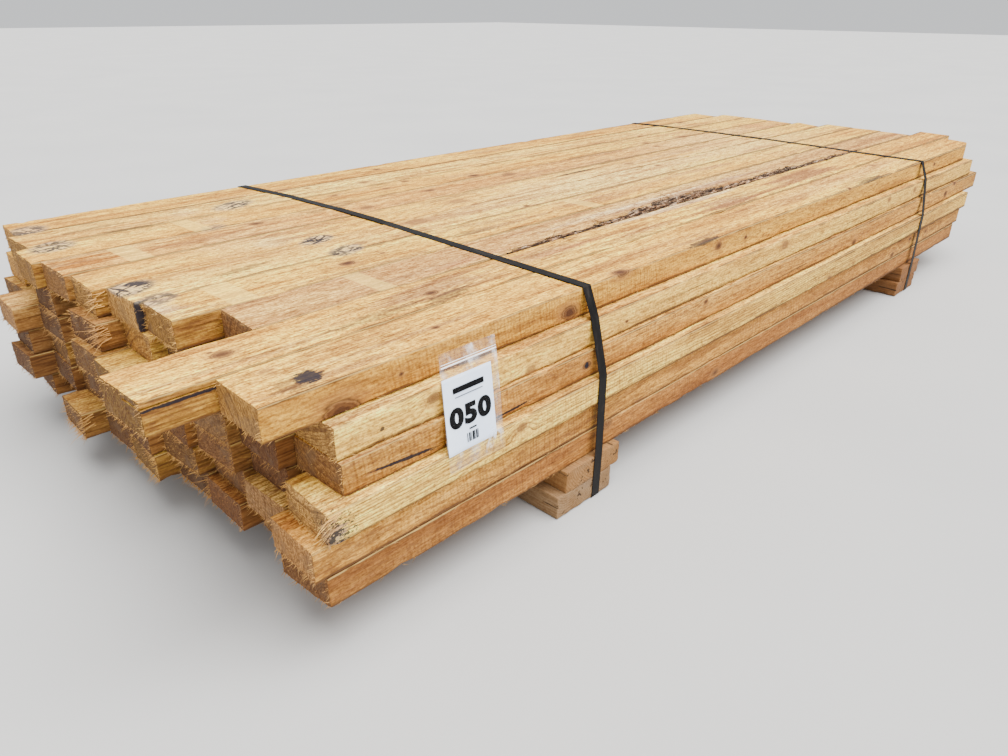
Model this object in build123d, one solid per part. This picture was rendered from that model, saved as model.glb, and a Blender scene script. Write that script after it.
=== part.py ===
from build123d import *
import math
import os

os.makedirs("parts", exist_ok=True)

# All sizes are millimetres. X runs along the boards, Y from the front face to the back, Z up.

# One rough-sawn board
board_length = 2440.0
board_width = 101.5
board_thickness = 46.5

# The stack: open seams between neighbours, and the dry joint between layers
boards_across = 10
side_seam = 2.0
layer_joint = 0.3

# How far each layer was laid towards the front of the stack, top layer first
layer_lean = [0.0, 22.0, 29.0, 45.0, 38.0, 38.0]

# How far boards lie back in a layer that wasn't pushed up tight, the last value for the rest
slack = [
    [0.0],
    [0.0],
    [0.0],
    [0.0, 18.0, 19.0, 22.0],
    [0.0, 0.0, 12.0],
    [0.0, 4.0, 9.0, 9.0, 9.0, 14.0, 18.0],
]

# Where each board starts, layer by layer from the top and board by board from the front
near_starts = [
    [0.0, -84.0, 110.0, 47.0, 39.0, 16.0, 11.0, -5.0, 21.0, 30.0],
    [77.0, 60.0, 40.0, 64.0, 40.0, 4.0, 48.0, 7.0, 35.0, 20.0],
    [78.0, 52.0, 39.0, 58.0, -15.0, -7.0, 18.0, 7.0, -36.0, 12.0],
    [42.0, 64.0, 42.0, 27.0, 12.0, -2.0, 21.0, 8.0, -20.0, 38.0],
    [21.0, 47.0, 54.0, 33.0, 7.0, 15.0, 24.0, 6.0, -30.0, 30.0],
    [37.0, 60.0, 39.0, 45.0, 10.0, 17.0, -22.0, 60.0, -1.0, 28.0],
]

# How far each board runs past the nominal length, in the same order
far_overs = [
    [123.0, 248.0, 161.0, 182.0, 194.0, 136.0, 136.0, 158.0, 165.0, 110.0],
    [98.0, 140.0, 172.0, 120.0, 150.0, 176.0, 104.0, 160.0, 138.0, 122.0],
    [160.0, 118.0, 150.0, 134.0, 178.0, 126.0, 146.0, 112.0, 170.0, 140.0],
    [49.0, 130.0, 96.0, 158.0, 114.0, 142.0, 168.0, 128.0, 106.0, 152.0],
    [29.0, 110.0, 144.0, 90.0, 136.0, 164.0, 118.0, 148.0, 126.0, 98.0],
    [-5.0, 84.0, 128.0, 152.0, 108.0, 132.0, 92.0, 156.0, 120.0, 134.0],
]

# How far an end saw cut runs out of square across one board, taken in turn
near_skews = [3.0, -5.0, 6.0, 2.0, -3.0, 4.0, -2.0]
far_skews = [46.0, 21.0, 12.0, 5.0, 14.0]

# The broken far corner of the top front board
corner_break_length = 59.0
corner_break_depth = 15.0

# The bark edge of the third board in the top layer, where the log's own round surface was left
wane_column = 2
wane_start = 600.0
wane_length = 1550.0
wane_depth = 8.0
pith_inset = 70.0
pith_drop = 200.0

# The split in the near end of the second board in the top layer
split_column = 1
split_length = 205.0
split_opening = 2.6
split_drop = 12.0
split_reach = 44.0

# Bearers, laid flat in pairs across the underside of the stack
bearer_width = 140.0
bearer_thickness = 40.0
bearer_overhang = 12.0
bearer_joint = 0.3
near_bearer_place = 546.0
far_bearer_inset = 395.0
lower_near_offset = -20.0
lower_far_offset = -15.0

# Strapping drawn round the boards and the bearers
strap_width = 19.0
strap_thickness = 0.8
strap_clearance = 0.3
near_strap_inset = 558.0
far_strap_inset = 339.0
near_lap_inset = 495.0
near_lap_length = 150.0
far_lap_inset = 163.0
far_lap_length = 110.0

# How far each strap wanders along the stack, at even steps down the front and over the top
near_front_wander = [0.0, 4.0, 2.0, -2.0, -4.0]
near_top_wander = [5.0, 8.0, 14.0, 18.0, 16.0, 8.0, -14.0]
far_front_wander = [0.0, -38.0, -55.0, -57.0, -58.0]
far_top_wander = [-12.0, 3.0, 24.0, 40.0, 46.0, 46.0, 34.0]

# The clear pouch on the front, its bends and how far along each is, and the card in it
pouch_bend_layer = 1
pouch_hang_layer = 3
pouch_width = 103.0
pouch_drop = 20.0
pouch_tail = 30.0
pouch_thickness = 2.0
pouch_film = 0.4
pouch_seam = 1.0
pouch_places = [308.0, 291.5, 280.0, 282.0]
card_width = 89.0
card_height = 102.0
card_thickness = 0.6
card_top_gap = 33.0
card_shift = -5.5

board_pitch = board_width + side_seam
layer_pitch = board_thickness + layer_joint
layer_count = len(layer_lean)
bearer_pair_height = 2 * bearer_thickness + 2 * bearer_joint
stack_height = bearer_pair_height + layer_count * board_thickness + (layer_count - 1) * layer_joint
stack_depth = boards_across * board_pitch - side_seam


def layer_bottom(layer):
    """Height of a layer's underside above the bearers' underside."""
    return stack_height - board_thickness - layer * layer_pitch


def board_front(layer, column):
    offsets = slack[layer]
    return column * board_pitch - layer_lean[layer] + offsets[min(column, len(offsets) - 1)]


def near_end(layer, column):
    starts = near_starts[layer]
    return starts[column % len(starts)]


def far_end(layer, column):
    overs = far_overs[layer]
    return board_length + overs[column % len(overs)]


def board(layer, column):
    """A board lying flat, with both end cuts a little out of square."""
    count = layer * boards_across + column
    front = board_front(layer, column)
    back = front + board_width
    near = near_end(layer, column)
    far = far_end(layer, column)
    near_skew = near_skews[count % len(near_skews)]
    far_skew = far_skews[count % len(far_skews)]
    corners = [(near, front), (far, front), (far + far_skew, back), (near + near_skew, back)]
    outline = Polyline(*corners, close=True)
    return extrude(Plane.XY.offset(layer_bottom(layer)) * make_face(outline), board_thickness)


def broken_corner():
    """The wedge missing from the far front corner of the top front board."""
    tip = far_end(0, 0)
    front = board_front(0, 0)
    inner = (tip - corner_break_length, front)
    outer = (tip + corner_break_length, front)
    outline = Polyline(inner, outer, (tip, front + corner_break_depth), close=True)
    return extrude(Plane.XY.offset(layer_bottom(0)) * make_face(outline), board_thickness)


def waney_strip():
    """What lies outside the log: a waist turned about the pith, taken from a bar on the board's edge."""
    edge = board_front(0, wane_column)
    corner_radius = math.hypot(pith_inset, pith_drop)
    middle = wane_start + wane_length / 2
    end = wane_start + wane_length
    deepest = (middle, corner_radius - wane_depth)
    waist = ThreePointArc((wane_start, corner_radius), deepest, (end, corner_radius))
    side = Polyline((end, corner_radius), (end, 0), (wane_start, 0), (wane_start, corner_radius))
    log = revolve(make_face([waist, side]), Axis.X)
    reach = pith_inset
    bar = Pos(middle, 0, corner_radius) * Box(wane_length, 2 * reach, 2 * reach)
    to_corner = math.degrees(math.atan2(pith_inset, pith_drop))
    peel = Rot(to_corner, 0, 0) * (bar - log)
    return Pos(0, edge + pith_inset, stack_height - pith_drop) * peel


def end_split():
    """A check that opens at the near end and closes inside the board."""
    mouth = near_end(0, split_column) - split_opening
    level = stack_height - split_drop
    half = split_opening / 2
    tip = mouth + split_length
    wedge = Polyline((mouth, level - half), (mouth, level + half), (tip, level + half), close=True)
    front = board_front(0, split_column)
    return extrude(Plane.XZ.offset(-front - split_reach) * make_face(wedge), 2 * split_reach)


def board_layer(layer):
    boards = [board(layer, column) for column in range(boards_across)]
    if layer == 0:
        boards[0] -= broken_corner()
        boards[split_column] -= end_split()
        boards[wane_column] -= waney_strip()
    return Compound([piece.solid() for piece in boards])


def hull(points):
    """The corners that a tight band would touch, front top corner first and then downwards."""
    chains = []
    for ordered in (sorted(points), sorted(points, reverse=True)):
        chain = []
        for y, z in ordered:
            while len(chain) > 1 and turns_right(chain[-2], chain[-1], (y, z)):
                chain.pop()
            chain.append((y, z))
        chains.append(chain[:-1])
    corners = chains[0] + chains[1]
    first = corners.index(max(corners, key=lambda corner: (corner[1], -corner[0])))
    return corners[first:] + corners[:first]


def turns_right(a, b, c):
    return (b[0] - a[0]) * (c[1] - a[1]) - (b[1] - a[1]) * (c[0] - a[0]) <= 0


def part_way(values, share):
    """A value read off evenly spaced values, at a share of the way along them."""
    place = min(max(share, 0.0), 1.0) * (len(values) - 1)
    left = min(int(place), len(values) - 2)
    return values[left] + (place - left) * (values[left + 1] - values[left])


def outward(before, here, after):
    """The mitre direction at a bend: one step along it moves both faces out by one."""
    normals = []
    for start, end in ((before, here), (here, after)):
        length = math.dist(start, end)
        normals.append(((start[1] - end[1]) / length, (end[0] - start[0]) / length))
    (ay, az), (by, bz) = normals
    scale = -1 / (1 + ay * by + az * bz)
    return ((ay + by) * scale, (az + bz) * scale)


def cross_section(station, mitre, x, width, inner, outer):
    corners = []
    for side, distance in ((-1, inner), (1, inner), (1, outer), (-1, outer)):
        y, z = station[0] + mitre[0] * distance, station[1] + mitre[1] * distance
        corners.append((x + side * width / 2, y, z))
    return make_face(Polyline(*corners, close=True))


def band(stations, mitres, places, width, inner, outer):
    """Flat band laid along a bent line, one straight run between each two stations."""
    sections = [cross_section(s, m, x, width, inner, outer) for s, m, x in zip(stations, mitres, places)]
    runs = [loft([first, second], ruled=True) for first, second in zip(sections, sections[1:])]
    joined = runs[0]
    for run in runs[1:]:
        joined += run
    return joined


def strapped_corners():
    """Outer corners of everything that a strap goes round."""
    corners = []
    for layer in range(layer_count):
        front = board_front(layer, 0)
        back = board_front(layer, boards_across - 1) + board_width
        bottom = layer_bottom(layer)
        corners += [(front, bottom), (front, bottom + board_thickness)]
        corners += [(back, bottom), (back, bottom + board_thickness)]
    corners += [(bearer_front(), 0.0), (bearer_front(), bearer_pair_height)]
    corners += [(bearer_back(), 0.0), (bearer_back(), bearer_pair_height)]
    return corners


def strap(place, front_wander, top_wander, lap_inset, lap_length):
    """A closed strap that follows the stack's stepped outline, its free end lapped over on top."""
    corners = hull(strapped_corners())
    top_front = corners[0]
    top_back = corners[-1]
    steps = len(top_wander) - 1
    step_forward = (top_front[0] - top_back[0]) / steps
    over_top = [(top_back[0] + step_forward * step, top_back[1]) for step in range(1, steps)]
    loop = corners + over_top
    places = []
    for y, z in loop:
        if z > stack_height - layer_joint:
            wander = part_way(top_wander, (y - top_front[0]) / (top_back[0] - top_front[0]))
        elif y < stack_depth / 2:
            wander = part_way(front_wander, (stack_height - z) / stack_height)
        else:
            back_wander = [top_wander[-1], front_wander[-1]]
            wander = part_way(back_wander, (stack_height - z) / stack_height)
        places.append(place + wander)
    count = len(loop)
    mitres = [outward(loop[i - 1], loop[i], loop[(i + 1) % count]) for i in range(count)]
    inner = strap_clearance
    outer = strap_clearance + strap_thickness
    closed_loop = loop + loop[:1]
    ring = band(closed_loop, mitres + mitres[:1], places + places[:1], strap_width, inner, outer)
    lap_start = top_back[0] - lap_inset
    return ring + strap_lap(top_front, top_back, place, top_wander, lap_start, lap_length)


def strap_lap(top_front, top_back, place, top_wander, lap_start, lap_length):
    """The strap's free end, drawn back over itself on the top of the stack."""
    depth = top_back[0] - top_front[0]
    ends = [lap_start, lap_start + lap_length]
    outer = strap_clearance + strap_thickness
    stations = [(y, top_front[1]) for y in ends]
    places = [place + part_way(top_wander, (y - top_front[0]) / depth) for y in ends]
    up = [(0.0, 1.0), (0.0, 1.0)]
    return band(stations, up, places, strap_width, outer, outer + strap_thickness)


def bearer_front():
    return board_front(layer_count - 1, 0) - bearer_overhang


def bearer_back():
    return board_front(layer_count - 1, boards_across - 1) + board_width + bearer_overhang


def bearer(place, level):
    """A plank across the stack, from just past its front to just past its back."""
    length = bearer_back() - bearer_front()
    bottom = level * (bearer_thickness + bearer_joint)
    centre = (place, bearer_front() + length / 2, bottom + bearer_thickness / 2)
    return Pos(*centre) * Box(bearer_width, length, bearer_thickness)


def pouch_line():
    """Where the pouch lies: from the top board's face, over two lower edges, then hanging free."""
    bend_edge = layer_bottom(pouch_bend_layer) + board_thickness
    hang_edge = layer_bottom(pouch_hang_layer) + board_thickness
    hang = board_front(pouch_hang_layer, 0)
    return [
        (board_front(0, 0), stack_height - pouch_drop),
        (board_front(pouch_bend_layer, 0), bend_edge),
        (hang, hang_edge),
        (hang, hang_edge - pouch_tail),
    ]


def cut_line(line, start, length):
    """The stretch of a bent line from one distance along it, with a given length."""
    points = []
    travelled = 0.0
    for first, second in zip(line, line[1:]):
        run = math.dist(first, second)
        for distance in (start, start + length):
            share = (distance - travelled) / run
            if 0 <= share < 1:
                points.append((distance, along(first, second, share)))
        travelled += run
        if start < travelled < start + length:
            points.append((travelled, second))
    return [point for _, point in sorted(points)]


def along(first, second, share):
    return (first[0] + (second[0] - first[0]) * share, first[1] + (second[1] - first[1]) * share)


def pouch_middle(z):
    """How far along the boards the pouch's middle is at a given height."""
    line = pouch_line()
    for first, second, here, there in zip(line, line[1:], pouch_places, pouch_places[1:]):
        share = (first[1] - z) / (first[1] - second[1])
        if share <= 1:
            return here + (there - here) * share
    return pouch_places[-1]


def flat_bag(line, shift, width, inner, outer):
    """A band along an open line that leans sideways as it goes down."""
    first = along(line[0], line[1], -1)
    last = along(line[-2], line[-1], 2)
    ends = [first] + line + [last]
    mitres = [outward(ends[i], ends[i + 1], ends[i + 2]) for i in range(len(line))]
    places = [pouch_middle(z) + shift for _, z in line]
    return band(line, mitres, places, width, inner, outer)


def tag_pouch():
    line = pouch_line()
    full = sum(math.dist(a, b) for a, b in zip(line, line[1:]))
    pocket_line = cut_line(line, pouch_seam, full - 2 * pouch_seam)
    near = layer_joint
    far = layer_joint + pouch_thickness
    bag = flat_bag(line, 0, pouch_width, near, far)
    pocket_width = pouch_width - 2 * pouch_seam
    pocket = flat_bag(pocket_line, 0, pocket_width, near + pouch_film, far - pouch_film)
    return bag - pocket


def tag_card():
    line = cut_line(pouch_line(), card_top_gap, card_height)
    inner = layer_joint + (pouch_thickness - card_thickness) / 2
    return flat_bag(line, card_shift, card_width, inner, inner + card_thickness)


def all_pieces():
    pieces = {f"board_layer_{layer + 1}": board_layer(layer) for layer in range(layer_count)}
    far_place = board_length - far_bearer_inset
    pieces["near_lower_bearer"] = bearer(near_bearer_place + lower_near_offset, 0)
    pieces["near_upper_bearer"] = bearer(near_bearer_place, 1)
    pieces["far_lower_bearer"] = bearer(far_place + lower_far_offset, 0)
    pieces["far_upper_bearer"] = bearer(far_place, 1)
    near_wander = (near_front_wander, near_top_wander)
    far_wander = (far_front_wander, far_top_wander)
    far_strap_place = board_length - far_strap_inset
    pieces["near_strap"] = strap(near_strap_inset, *near_wander, near_lap_inset, near_lap_length)
    pieces["far_strap"] = strap(far_strap_place, *far_wander, far_lap_inset, far_lap_length)
    pieces["tag_pouch"] = tag_pouch()
    pieces["tag_card"] = tag_card()
    return pieces


pieces = all_pieces()
solids = [solid for piece in pieces.values() for solid in piece.solids()]
box = Compound(solids).bounding_box()
to_origin = Pos(-(box.min.X + box.max.X) / 2, -(box.min.Y + box.max.Y) / 2, -box.min.Z)
for name, piece in pieces.items():
    export_step(to_origin * piece, f"parts/{name}.step")
print("origin moved by", -(box.min.X + box.max.X) / 2, -(box.min.Y + box.max.Y) / 2, -box.min.Z)
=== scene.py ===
import math
import random
from functools import reduce
from types import SimpleNamespace

import bmesh
import bpy
import numpy as np
from mathutils import Matrix, Vector, noise


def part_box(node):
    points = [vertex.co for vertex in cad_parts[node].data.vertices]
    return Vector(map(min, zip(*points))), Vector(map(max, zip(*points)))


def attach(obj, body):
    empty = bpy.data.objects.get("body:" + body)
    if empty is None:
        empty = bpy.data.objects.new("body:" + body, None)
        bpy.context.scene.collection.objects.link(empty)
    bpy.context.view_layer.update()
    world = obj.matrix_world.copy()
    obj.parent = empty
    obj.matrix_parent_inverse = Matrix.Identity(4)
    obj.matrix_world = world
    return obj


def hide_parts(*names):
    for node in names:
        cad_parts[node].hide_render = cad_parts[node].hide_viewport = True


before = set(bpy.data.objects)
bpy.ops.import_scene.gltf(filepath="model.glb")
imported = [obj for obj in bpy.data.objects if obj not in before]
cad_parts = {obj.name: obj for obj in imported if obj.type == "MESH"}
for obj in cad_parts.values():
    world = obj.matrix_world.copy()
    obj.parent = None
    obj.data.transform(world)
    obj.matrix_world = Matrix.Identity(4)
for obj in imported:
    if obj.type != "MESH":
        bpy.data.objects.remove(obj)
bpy.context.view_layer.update()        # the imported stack, in metres: near ends at low x, front at low y

stack = {
    "layers": 6,
    "nearEdge": -1.310,      # where the top front board starts
    "frontEdge": -0.4915,    # front face of the top front board
    "top": 0.3622,           # top of the boards
    "boardLength": 2.44,
    "boardWidth": 0.1015,
    "boardThickness": 0.0465,
    "pitch": 0.1035,
    "layerPitch": 0.0468,
    "lean": {1: 0.0, 2: 0.022, 3: 0.029, 4: 0.045, 5: 0.038, 6: 0.038},    # how far a layer stands out in front
}
white, black = (1.0, 1.0, 1.0), (0.0, 0.0, 0.0)


def atStack(along, across, down):
    # a place given from the near front top corner of the stack, in metres
    return Vector((stack["nearEdge"] + along, stack["frontEdge"] + across, stack["top"] - down))


# small modelling helpers

def deselectAll():
    if bpy.context.object and bpy.context.object.mode != "OBJECT":
        bpy.ops.object.mode_set(mode="OBJECT")
    bpy.ops.object.select_all(action="DESELECT")


def makeActive(piece):
    deselectAll()
    piece.select_set(True)
    bpy.context.view_layer.objects.active = piece


def addBox(name, low, high):
    deselectAll()
    low, high = Vector(low), Vector(high)
    bpy.ops.mesh.primitive_cube_add(size=1, location=(low + high) / 2, scale=high - low)
    piece = bpy.context.object
    piece.name = name
    bpy.ops.object.transform_apply(location=True, rotation=True, scale=True)
    return piece


def copyOf(piece, name):
    twin = piece.copy()
    twin.data = piece.data.copy()
    twin.name = name
    bpy.context.scene.collection.objects.link(twin)
    return twin


def editMode(kind=None):
    bpy.ops.object.mode_set(mode="EDIT")
    if kind:
        bpy.ops.mesh.select_mode(type=kind)


def objectMode():
    bpy.ops.object.mode_set(mode="OBJECT")


def mergeDoubles():
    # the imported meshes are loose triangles
    editMode()
    bpy.ops.mesh.select_all(action="SELECT")
    bpy.ops.mesh.remove_doubles(threshold=0.00001)


def joinAll(pieces, name):
    deselectAll()
    for piece in pieces:
        piece.select_set(True)
    bpy.context.view_layer.objects.active = pieces[0]
    bpy.ops.object.join()
    joined = bpy.context.object
    joined.name = name
    bpy.ops.object.transform_apply(location=True, rotation=True, scale=True)
    return joined


def pick(piece, kind, wanted):
    # in edit mode: selects only the edges or faces for which wanted(one) is true
    mesh = bmesh.from_edit_mesh(piece.data)
    found = mesh.edges if kind == "EDGE" else mesh.faces
    for one in found:
        one.select_set(False)
    for one in found:
        if wanted(one):
            one.select_set(True)
    bmesh.update_edit_mesh(piece.data)


def cutAcross(place, normal):
    bpy.ops.mesh.select_all(action="SELECT")
    bpy.ops.mesh.bisect(plane_co=place, plane_no=normal)


def divideAlong(piece, axis, low, high, cuts):
    # cuts every edge that runs along one axis between two places
    def wanted(edge):
        a, b = edge.verts[0].co, edge.verts[1].co
        run = b - a
        middle = (a + b) / 2
        return abs(run[axis]) > 0.9 * run.length and low < middle[axis] < high
    pick(piece, "EDGE", wanted)
    bpy.ops.mesh.subdivide(number_cuts=cuts, smoothness=0)


def coordinates(piece):
    co = np.zeros(len(piece.data.vertices) * 3)
    piece.data.vertices.foreach_get("co", co)
    return co.reshape(-1, 3)


def setCoordinates(piece, co):
    piece.data.vertices.foreach_set("co", np.ascontiguousarray(co, dtype=np.float32).ravel())
    piece.data.update()


def unit(values):
    return np.clip(values, 0, 1)


def writeAttribute(piece, name, kind, values):
    # one value a vertex: a number, a vector or a colour with its alpha
    attribute = piece.data.attributes.new(name, kind, "POINT")
    key = {"FLOAT": "value", "FLOAT_VECTOR": "vector", "FLOAT_COLOR": "color"}[kind]
    attribute.data.foreach_set(key, np.ascontiguousarray(values, np.float32).ravel())


def smoothBelow(piece, degrees):
    makeActive(piece)
    bpy.ops.object.shade_smooth_by_angle(angle=math.radians(degrees))


def giveMaterial(piece, material):
    piece.data.materials.clear()
    piece.data.materials.append(material)


def roughness(points, scale, seed, octaves=1):
    # one noise value a point, about -1 to 1
    scale = Vector(scale)
    values = np.empty(len(points))
    for i, p in enumerate(points):
        q = Vector((p[0] * scale[0] + seed * 7.1, p[1] * scale[1] + seed * 3.3, p[2] * scale[2] - seed * 5.7))
        values[i] = noise.fractal(q, 0.6, 2.1, octaves) if octaves > 1 else noise.noise(q)
    return values


# node helpers: each adds to the material begun last

tree = None


def newMaterial(name):
    global tree
    material = bpy.data.materials.new(name)
    material.use_nodes = True
    tree = material.node_tree
    tree.nodes.clear()
    return material


def plug(socket, value):
    if isinstance(value, bpy.types.NodeSocket):
        tree.links.new(value, socket)
    elif socket.type == "RGBA":
        socket.default_value = (*value, 1)
    else:
        socket.default_value = value


def addNode(kind, inputs=None, **settings):
    node = tree.nodes.new("ShaderNode" + kind)
    for key, value in settings.items():
        setattr(node, key, value)
    for key, value in (inputs or {}).items():
        plug(node.inputs[key], value)
    return node


def calc(operation, a, b=0.0, c=0.5, clamp=False):
    return addNode("Math", {0: a, 1: b, 2: c}, operation=operation, use_clamp=clamp).outputs[0]


def times(a, b, clamp=False):
    return calc("MULTIPLY", a, b, clamp=clamp)


def plus(a, b):
    return calc("ADD", a, b)


def timesPlus(a, b, c):
    return calc("MULTIPLY_ADD", a, b, c)


def most(a, b):
    return calc("MAXIMUM", a, b)


def least(a, b):
    return calc("MINIMUM", a, b)


def centred(noiseValue):
    return calc("SUBTRACT", noiseValue, 0.5)


def inverse(share):
    return calc("SUBTRACT", 1.0, share)


def vectorCalc(operation, a, b=(0, 0, 0)):
    return addNode("VectorMath", {0: a, 1: b}, operation=operation).outputs[0]


def lengthOf(vector):
    return addNode("VectorMath", {0: vector}, operation="LENGTH").outputs[1]


def dot(vector, direction):
    return addNode("VectorMath", {0: vector, 1: direction}, operation="DOT_PRODUCT").outputs[1]


def partsOf(vector):
    return addNode("SeparateXYZ", {0: vector}).outputs


def vectorOf(*parts):
    return addNode("CombineXYZ", dict(enumerate(parts))).outputs[0]


def readAttribute(name, output):
    return addNode("Attribute", attribute_name=name).outputs[output]


def objectPlace():
    return addNode("TexCoord").outputs["Object"]


def blendColours(share, a, b, mode="MIX"):
    node = addNode("Mix", data_type="RGBA", blend_type=mode, clamp_factor=True)
    for index, value in ((0, share), (6, a), (7, b)):
        plug(node.inputs[index], value)
    return node.outputs[2]


def ramp(value, *stops):
    # stops: places from 0 to 1, each with a colour or a grey
    node = addNode("ValToRGB", {0: value})
    elements = node.color_ramp.elements
    while len(elements) < len(stops):
        elements.new(0.5)
    for element, (place, colour) in zip(elements, stops):
        element.position = place
        element.color = (*colour, 1) if hasattr(colour, "__len__") else (colour, colour, colour, 1)
    return node.outputs[0]


def noiseAt(place, scale, detail=2.0, rough=0.5):
    inputs = {"Vector": vectorCalc("MULTIPLY", place, scale), "Scale": 1.0, "Detail": detail, "Roughness": rough}
    return addNode("TexNoise", inputs).outputs[0]


def band(value, low, high):
    # 0 below low, 1 above high, smooth between
    inputs = {0: value, 1: low, 2: high, 3: 0.0, 4: 1.0}
    return addNode("MapRange", inputs, interpolation_type="SMOOTHSTEP", clamp=True).outputs[0]


def fade(value, low, high):
    return inverse(band(value, low, high))


def finishMaterial(colour, roughnessValue, height, depth, bumpStrength, **sockets):
    inputs = {"Strength": bumpStrength, "Distance": depth, "Height": height}
    bump = addNode("Bump", inputs).outputs[0]
    shader = addNode("BsdfPrincipled", {"Base Color": colour, "Roughness": roughnessValue, "Normal": bump})
    for key, value in sockets.items():
        shader.inputs[key.replace("_", " ")].default_value = value
    output = addNode("OutputMaterial")
    tree.links.new(shader.outputs[0], output.inputs[0])
    return shader


# Plain finishes. Noises are scale, detail and roughness: the relief's own, or the colour's again
plainFinishes = {
    "whiteCard": {
        "reliefNoise": (900, 3.0, 0.6), "colourNoise": (25, 2.0, 0.5),
        "colours": ((0.4, (0.70, 0.80, 0.98)), (0.6, (0.76, 0.86, 1.0))), "roughness": ((0.4, 0.66), (0.6, 0.78)),
        "bump": (0.0002, 0.4), "sockets": {"Specular_IOR_Level": 0.35},
    },
    "printInk": {
        "colourNoise": (500, 3.0, 0.6),
        "colours": ((0.4, (0.0015, 0.0015, 0.002)), (0.66, (0.006, 0.006, 0.007))),
        "roughness": ((0.4, 0.60), (0.66, 0.74)),
        "bump": (0.0001, 0.3), "sockets": {"Specular_IOR_Level": 0.08},
    },
    "pouchZip": {
        "colourNoise": (120, 2.0, 0.5),
        "colours": ((0.4, (0.86, 0.88, 0.90)), (0.6, (0.98, 0.98, 0.98))), "roughness": ((0.4, 0.26), (0.6, 0.36)),
        "bump": (0.0003, 0.4), "sockets": {"Specular_IOR_Level": 0.5, "Alpha": 0.85},
    },
    "paleFloor": {
        "reliefNoise": (60, 3.0, 0.5), "colourNoise": (1.5, 3.0, 0.5),
        "colours": ((0.3, (0.44, 0.44, 0.44)), (0.7, (0.47, 0.47, 0.465))), "roughness": ((0.3, 0.85), (0.7, 0.95)),
        "bump": (0.0004, 0.3), "sockets": {"Specular_IOR_Level": 0.2},
    },
}


def plainMaterial(name):
    look = plainFinishes[name]
    material = newMaterial(name)
    place = objectPlace()
    noises = [look[key] for key in ("reliefNoise", "colourNoise") if key in look]
    noises = [noiseAt(place, (scale,) * 3, *rest) for scale, *rest in noises]
    relief, cloud = noises[0], noises[-1]
    colour = ramp(cloud, *look["colours"])
    finishMaterial(colour, ramp(relief, *look["roughness"]), relief, *look["bump"], **look["sockets"])
    return material


# cedar

def inMetres(count, rows):
    # the first values of each row are written in millimetres
    return [tuple(value / 1000 for value in row[:count]) + row[count:] for row in rows]


# Places and sizes of marks on the wood, in millimetres from the near front top corner of the stack
# Knots on the top: along, across, radius and how dark
topKnots = inMetres(3, [
    (43, 160, 11, 0.75), (34, 175, 3, 1), (55, 79, 6, 0.35), (370, 356, 10, 1), (455, 440, 11, 0.45),
    (447, 362, 4, 0.8), (288, 39, 5, 0.9), (373, 147, 10, 0.95), (253, 216, 3, 0.8), (392, 697, 11, 0.8),
    (588, 929, 12, 0.6), (631, 654, 12, 0.6), (838, 688, 11, 0.7), (1030, 741, 12, 0.95), (1106, 689, 16, 0.6),
    (905, 981, 8, 0.9), (809, 560, 16, 0.4), (817, 515, 6, 0.9), (628, 486, 17, 0.4), (780, 869, 10, 0.6),
    (778, 776, 7, 0.6), (860, 809, 8, 0.7), (885, 424, 6, 1), (645, 797, 6, 0.9), (644, 906, 5, 0.7),
    (2278, 924, 13, 0.9), (1894, 830, 10, 0.7), (1784, 733, 10, 0.8), (1992, 726, 14, 0.6), (1760, 676, 8, 0.8),
    (1460, 566, 12, 0.5), (1489, 490, 8, 0.6), (1302, 441, 6, 0.5), (1542, 427, 5, 0.9), (1930, 80, 8, 0.6),
    (2120, 270, 9, 0.6), (659, 6, 12, 0.9), (1582, 3, 7, 0.9),
])
# Knots on the front: along, down, radius and how dark
sideKnots = inMetres(3, [
    (104, 46, 21, 0.85), (525, 33, 13, 0.9), (196, 26, 3, 0.9), (967, 19, 8, 0.85), (1073, 22, 4, 1),
    (2213, 24, 6, 0.9), (229, 64, 8, 0.6), (414, 87, 7, 0.35), (649, 77, 3, 0.8), (1215, 63, 10, 0.5),
    (2008, 65, 8, 0.5), (1813, 61, 7, 0.5), (538, 118, 7, 1.3), (892, 104, 5, 0.8), (1598, 134, 10, 0.8),
    (373, 156, 7, 0.5), (2151, 208, 7, 0.7), (593, 243, 10, 0.65), (1440, 185, 8, 0.6), (1888, 224, 10, 0.7),
    (2294, 119, 10, 1.1), (2369, 96, 10, 1.1), (2017, 204, 6, 0.9), (950, 268, 8, 0.7),
])
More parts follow.
